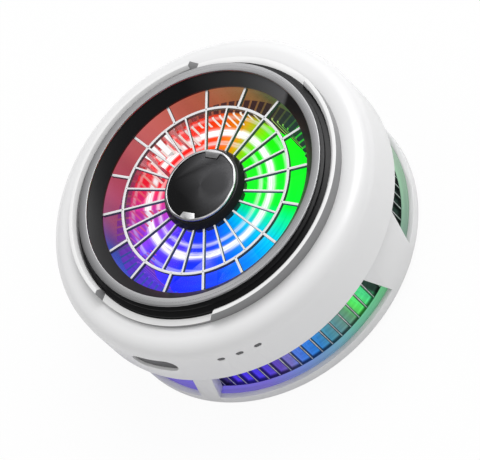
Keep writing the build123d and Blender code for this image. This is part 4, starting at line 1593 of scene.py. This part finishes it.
@dataclass
class Heatsink:
    """The finned sink and the module under it."""

    fin: float = 0.45
    inner: float = 19.5
    tip: float = 30.8
    short_tip: float = 28.6
    flange_top: float = 3.5
    flange_low: float = 2.8
    core_low: float = 4.9
    core_top: float = 6.4
    core: float = 19.6
    pocket: float = 17.6
    rim: float = 32.25
    window_low: float = 3.4
    window_high: float = 14.7
    ledge_middle: float = 3.15
    margin: float = 0.2
    pillar_start: float = 30.8
    steps: int = 8
    ledge_start: float = 30.82
    end_reach: float = 19.9
    shoulder_low: float = 15.2
    shoulder_high: float = 16.5
    shoulder_radius: float = 26.3
    top: float = 21.4
    pitch: float = 4.5
    runs: tuple[tuple[float, int, bool], ...] = (
        (9.0, 17, True),
        (99.0, 17, True),
        (189.0, 37, True),
        (-4.5, 3, False),
        (85.5, 3, False),
        (175.5, 3, False),
    )

    def one_fin(self, tip: float) -> Mesh:
        """Returns one upright fin with softened corners.

        Args:
            tip: its outer edge's distance from the axis.

        Returns:
            The mesh.
        """
        outline = [
            (self.inner, self.flange_top - 0.1),
            (tip, self.flange_top - 0.1),
            (tip, self.shoulder_low),
            (self.shoulder_radius, self.shoulder_high),
            (self.shoulder_radius, self.top),
            (self.inner, self.top),
        ]
        stand = Matrix.Rotation(math.radians(90.0), 4, "X")
        half = self.fin / 2.0
        return prism("fin", soften(outline, 0.35, 3), -half, half, stand)

    def build(self) -> None:
        """Builds the sink and dresses what lies under it."""
        parts = []
        for start, count, long in self.runs:
            fin = self.one_fin(self.tip if long else self.short_tip)
            parts.append(RoundPattern.repeat(fin, count, start, self.pitch, "fin_side"))
        fins = joined("fins", parts)

        def side_or_edge(polygon: Face) -> int:
            """Picks a fin's finish: its side, its top, its inner end or its outer edge.

            Args:
                polygon: the face.

            Returns:
                The finish's number.
            """
            middle = Vector((polygon.center.x, polygon.center.y, 0.0)).normalized()
            across = Vector((-middle.y, middle.x, 0.0))
            if abs(polygon.normal.dot(across)) > 0.7:
                return 0
            if polygon.center.xy.length < self.end_reach * MM:
                return 5
            return 4 if polygon.normal.z > 0.6 else 1

        base = self.base()
        mesh = joined("sink", [fins, base])
        base_from = len(fins.polygons)

        def choose(polygon: Face) -> int:
            """Picks the base's finishes or the fins'.

            Args:
                polygon: the face.

            Returns:
                The finish's number.
            """
            if polygon.index < base_from:
                return side_or_edge(polygon)
            if polygon.center.z > (self.flange_top + 0.05) * MM:
                return 2
            return 0 if polygon.center.xy.length < self.ledge_start * MM else 3

        finishes = ["fin_side", "fin_edge", "sink_top", "ledge", "fin_top", "fin_end"]
        add_piece("heatsink", mesh, finishes, choose=choose)
        dress({"hot_ceramic": "ceramic", "cold_ceramic": "ceramic"})
        dress({"module_pellets": "pellet", "module_frame": "foam"})

    def window_edge(self, lower: float, upper: float, away: float) -> float:
        """Returns where a slanted window edge passes the ledge.

        Args:
            lower: its angle at the window's foot in degrees.
            upper: its angle at the window's top.
            away: how far the ledge stays from it, in degrees with a sign.

        Returns:
            The angle in radians.
        """
        middle = (self.window_low + self.window_high) / 2.0
        share = (middle - self.ledge_middle) / (self.window_high - self.window_low)
        return math.radians((lower + upper) / 2.0 + (lower - upper) * share + away)

    def base(self) -> Mesh:
        """Returns the base plate, with the outer ledge only inside the windows."""
        outline = [
            (0.0, self.core_low),
            (self.pocket, self.core_low),
            (self.pocket, self.flange_low),
            (self.rim, self.flange_low),
            (self.rim, self.flange_top),
            (self.ledge_start, self.flange_top),
            (self.core, self.flange_top),
            (self.core, self.core_top),
            (0.0, self.core_top),
        ]
        plate = lathe("base", soften(outline, 0.1, 2), 192)
        cutters = []
        for index, (lower, upper) in enumerate(WINDOWS):
            next_lower, next_upper = WINDOWS[(index + 1) % len(WINDOWS)]
            first = self.window_edge(lower[1], upper[1], -self.margin)
            last = self.window_edge(next_lower[0], next_upper[0], self.margin)
            if last < first:
                last += 2.0 * math.pi
            near = self.pillar_start
            points = [polar(near, first), polar(FAR, first), polar(FAR, last), polar(near, last)]
            points += [polar(near, last + (first - last) * k / self.steps) for k in range(1, self.steps)]
            cutters.append(prism("pillar_room", points, self.flange_low - 0.8, self.flange_top + 1.0))
        return cut(plate, cutters)


@dataclass
class Wheel:
    """The fan wheel and the motor parts that turn with it."""

    hub: float = 9.84
    cup: float = 8.92
    low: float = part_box("fan_wheel")[0][2] / MM
    high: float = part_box("fan_wheel")[1][2] / MM
    tip: float = 18.9
    blades: int = 11
    twist: float = 62.0
    thick: float = 1.2
    taper: float = 0.45
    edge_share: float = 0.12
    edge_least: float = 0.35
    root: float = 0.45
    foot_gap: float = 0.3
    top_gap: float = 0.1
    bevel: float = 0.7
    roof: float = 0.9
    bore: float = 1.02
    boss: float = 2.4
    boss_tall: float = 3.1
    across: int = 10
    upward: int = 28

    def blade(self) -> Mesh:
        """Returns one twisted blade whose edges thin out."""
        shape = bmesh.new()
        start = self.hub - self.root
        bottom = self.low + self.foot_gap
        top = self.high - self.top_gap
        rows: list[list[list[bmesh.types.BMVert]]] = []
        for row in range(self.upward + 1):
            way = row / self.upward
            edge = min(1.0, min(way, 1.0 - way) / self.edge_share)
            half = self.thick / 2.0 * (self.edge_least + (1.0 - self.edge_least) * math.sqrt(edge))
            line = []
            for column in range(self.across + 1):
                share = column / self.across
                radius = start + (self.tip - 0.05 - start) * share
                thinner = half * (1.0 - self.taper * share)
                pair = []
                for side in (1.0, -1.0):
                    x, y = polar(radius, math.radians(self.twist * way) + side * thinner / radius)
                    height = bottom + (top - bottom) * way
                    pair.append(shape.verts.new((x * MM, y * MM, height * MM)))
                line.append(pair)
            rows.append(line)
        for row in range(self.upward):
            for column in range(self.across):
                for side in (0, 1):
                    steps = ((0, 0), (0, 1), (1, 1), (1, 0))
                    shape.faces.new([rows[row + up][column + out][side] for up, out in steps])
        for row in range(self.upward):
            for column in (0, self.across):
                lower, upper = rows[row][column], rows[row + 1][column]
                shape.faces.new((lower[0], lower[1], upper[1], upper[0]))
        for column in range(self.across):
            for row in (0, self.upward):
                near, far = rows[row][column : column + 2]
                shape.faces.new((near[0], near[1], far[1], far[0]))
        return from_bmesh(shape, "blade")

    def build(self) -> None:
        """Builds the wheel and dresses the rest."""
        outline = [
            (self.cup, self.low),
            (self.hub, self.low),
            (self.hub, self.high - self.bevel),
            (self.hub - 0.2, self.high - 0.2),
            (self.hub - self.bevel, self.high),
            (0.0, self.high),
            (0.0, self.high - self.roof),
            (self.cup, self.high - self.roof),
        ]
        hub = lathe("wheel_hub", outline, 128)
        top = self.high - 0.8
        boss = lathe("wheel_boss", rect(self.bore, self.boss, top - self.boss_tall, top), 48)
        blades = RoundPattern.repeat(self.blade(), self.blades, 0.0, 360.0 / self.blades, "wheel")
        mesh = joined("wheel", [hub, boss, blades])
        add_piece("fan_wheel", mesh, ["wheel"], body=ROTOR)
        dress({"rotor_yoke": "steel", "rotor_magnet": "magnet", "fan_shaft": "steel"})


@dataclass
class Motor:
    """The parts of the motor that stand still."""

    def build(self) -> None:
        """Dresses the motor."""
        dress(
            {
                "motor_seat": "black",
                "motor_screws": "steel",
                "bearing_tube": "brass",
                "sleeve_bearing": "bronze",
                "thrust_pad": "nylon",
                "stator_core": "steel",
                "stator_windings": "copper",
                "motor_board": "board",
            }
        )


@dataclass
class Electronics:
    """The boards, the cable inlet, the button, the lenses and the small parts."""

    def build(self) -> None:
        """Builds the visible pieces and dresses the rest."""
        dress(
            {
                "main_board": "board",
                "board_screws": "steel",
                "button_switch": "black",
                "switch_plunger": "nylon",
                "level_lamps": "lamp",
                "control_chip": "black",
                "power_choke": "foam",
                "board_capacitors": "can",
            }
        )
        refine("inlet_shell", 0.05, "steel")
        refine("inlet_core", 0.06, "black")
        refine("mode_button", 0.15, "button", segments=3, body=BUTTON)
        refine("lamp_lenses", 0.08, "lens")


@dataclass
class Back:
    """What lies against the phone."""

    plate: float = 17.0
    plate_thick: float = 1.9
    chamfer: float = 0.3
    pad_inner: float = 17.1
    pad_outer: float = 29.4
    pad_thick: float = 0.8

    def build(self) -> None:
        """Builds the cold plate and the pad and dresses the magnets."""
        edge = self.plate - self.chamfer
        plate = [
            (0.0, 0.0),
            (edge, 0.0),
            (self.plate, self.chamfer),
            (self.plate, self.plate_thick),
            (0.0, self.plate_thick),
        ]
        mesh = lathe("cold_plate", soften(plate, 0.08, 2), 192)
        add_piece("cold_plate", mesh, ["plate"])
        pad = rect(self.pad_inner, self.pad_outer, 0.0, self.pad_thick)
        mesh = lathe("back_pad", soften(pad, 0.18, 3), 192)
        add_piece("back_pad", mesh, ["pad"])
        dress({"magnet_segments": "nickel", "magnet_backing": "steel"})


@dataclass
class Studio:
    """The floor, the light and the camera."""

    elevation: float = 50.4406
    azimuth: float = -28.0
    roll: float = 46.0875
    distance: float = 771.66
    shift: Point = (-8.175, -9.091)
    target: float = 30.0
    lens: float = 301.0
    dim: float = 0.376
    bright: float = 0.856
    reflect_low: float = 0.16
    reflect_high: float = 1.28
    room_light: tuple[float, float, float] = (-0.12, 0.50, 0.86)
    panel_light: tuple[float, float, float] = (-0.12, 0.70, 0.70)
    panel_edge: tuple[float, float] = (0.65, 0.98)
    key: float = 2.5
    key_place: tuple[float, float, float] = (0.06, 0.42, 0.62)
    key_size: float = 0.5
    floor_half: float = 900.0
    floor_glow: float = 0.94

    def floor(self) -> None:
        """Lays the pale floor, which shows white with the object's shadow."""
        half = self.floor_half
        mesh = prism("floor", rect(-half, half, -half, half), -4.0, -0.02)
        sheet = Sheet("pale_floor")
        plain = sheet.add("BsdfDiffuse", {"Color": (0.85, 0.85, 0.85)})
        bright = sheet.add("Emission", {"Color": (1.0, 1.0, 1.0), "Strength": 1.0})
        path = sheet.add("LightPath")
        seen = sheet.maths("MAXIMUM", path.outputs["Is Camera Ray"], path.outputs["Is Transmission Ray"])
        share = sheet.maths("MULTIPLY", seen, self.floor_glow)
        shader = sheet.add("MixShader", {0: share, 1: plain.outputs[0], 2: bright.outputs[0]})
        mesh.materials.append(sheet.finish(shader))
        made = bpy.data.objects.new("floor", mesh)
        bpy.context.scene.collection.objects.link(made)

    def world(self) -> None:
        """Sets a pale room: brightest up at the back left, with one soft panel for reflections."""
        world = bpy.data.worlds.new("studio")
        bpy.context.scene.world = world
        sheet = Sheet(world)

        def level(towards: Vector, ends: Sequence[float]) -> Socket:
            """Adds a brightness that grows towards a direction.

            Args:
                towards: the direction.
                ends: from low, from high, to low, to high.

            Returns:
                The brightness.
            """
            place = sheet.add("TexCoord").outputs["Generated"]
            along = sheet.add("VectorMath", {0: place, 1: towards.normalized()}, operation="DOT_PRODUCT")
            return sheet.span(along.outputs["Value"], ends, "SMOOTHSTEP")

        path = sheet.add("LightPath")
        room = level(Vector(self.room_light), (-1.0, 1.0, self.dim, self.bright))
        panel = level(Vector(self.panel_light), (*self.panel_edge, self.reflect_low, self.reflect_high))
        glossy = sheet.blend(path.outputs["Is Glossy Ray"], room, panel)
        strength = sheet.blend(path.outputs["Is Camera Ray"], glossy, 1.0)
        sheet.finish(sheet.add("Background", {"Color": (1.0, 1.0, 1.0), "Strength": strength}))

    def lamp(self, name: str, place: tuple[float, float, float], size: float, power: float) -> None:
        """Adds one soft lamp that looks at the object.

        Args:
            name: the lamp's name.
            place: where it stands, in metres.
            size: its side in metres.
            power: its power in watts.
        """
        data = bpy.data.lights.new(name, "AREA")
        data.size = size
        data.energy = power
        made = bpy.data.objects.new(name, data)
        made.location = place
        middle = Vector((0.0, 0.0, 0.015))
        made.rotation_euler = (middle - Vector(place)).to_track_quat("-Z", "Y").to_euler()
        bpy.context.scene.collection.objects.link(made)

    def camera(self) -> None:
        """Sets the camera at the photograph's angle."""
        high = math.radians(self.elevation)
        roll = math.radians(self.roll)
        right = Vector((1.0, 0.0, 0.0))
        down = Vector((0.0, -math.sin(high), -math.cos(high)))
        into = Vector((0.0, math.cos(high), -math.sin(high)))
        across = right * math.cos(roll) + down * math.sin(roll)
        below = down * math.cos(roll) - right * math.sin(roll)
        turn = Matrix.Rotation(math.radians(self.azimuth + 90.0), 3, "Z")
        across, below, into = turn @ across, turn @ below, turn @ into
        aim = Vector((0.0, 0.0, self.target))
        place = aim - across * self.shift[0] - below * self.shift[1] - into * self.distance
        data = bpy.data.cameras.new("camera")
        data.lens = self.lens
        data.sensor_width = 36.0
        data.sensor_fit = "HORIZONTAL"
        data.clip_start = 0.01
        data.clip_end = 20.0
        made = bpy.data.objects.new("camera", data)
        axes = Matrix((across, -below, -into)).transposed().to_4x4()
        made.matrix_world = Matrix.Translation(place * MM) @ axes
        bpy.context.scene.collection.objects.link(made)
        bpy.context.scene.camera = made

    def build(self) -> None:
        """Builds the studio."""
        self.floor()
        self.world()
        self.lamp("key_lamp", self.key_place, self.key_size, self.key)
        self.camera()
        bpy.context.scene.view_settings.view_transform = "Standard"


def main() -> None:
    """Builds the object and its studio in order."""
    logging.basicConfig(level=logging.INFO, format="%(name)s %(message)s")
    Studio().build()
    groups = (Shells(), Bezel(), Guard(), LightRing(), Heatsink(), Wheel(), Motor(), Electronics(), Back())
    for group in groups:
        group.build()


if __name__ == "__main__":
    main()
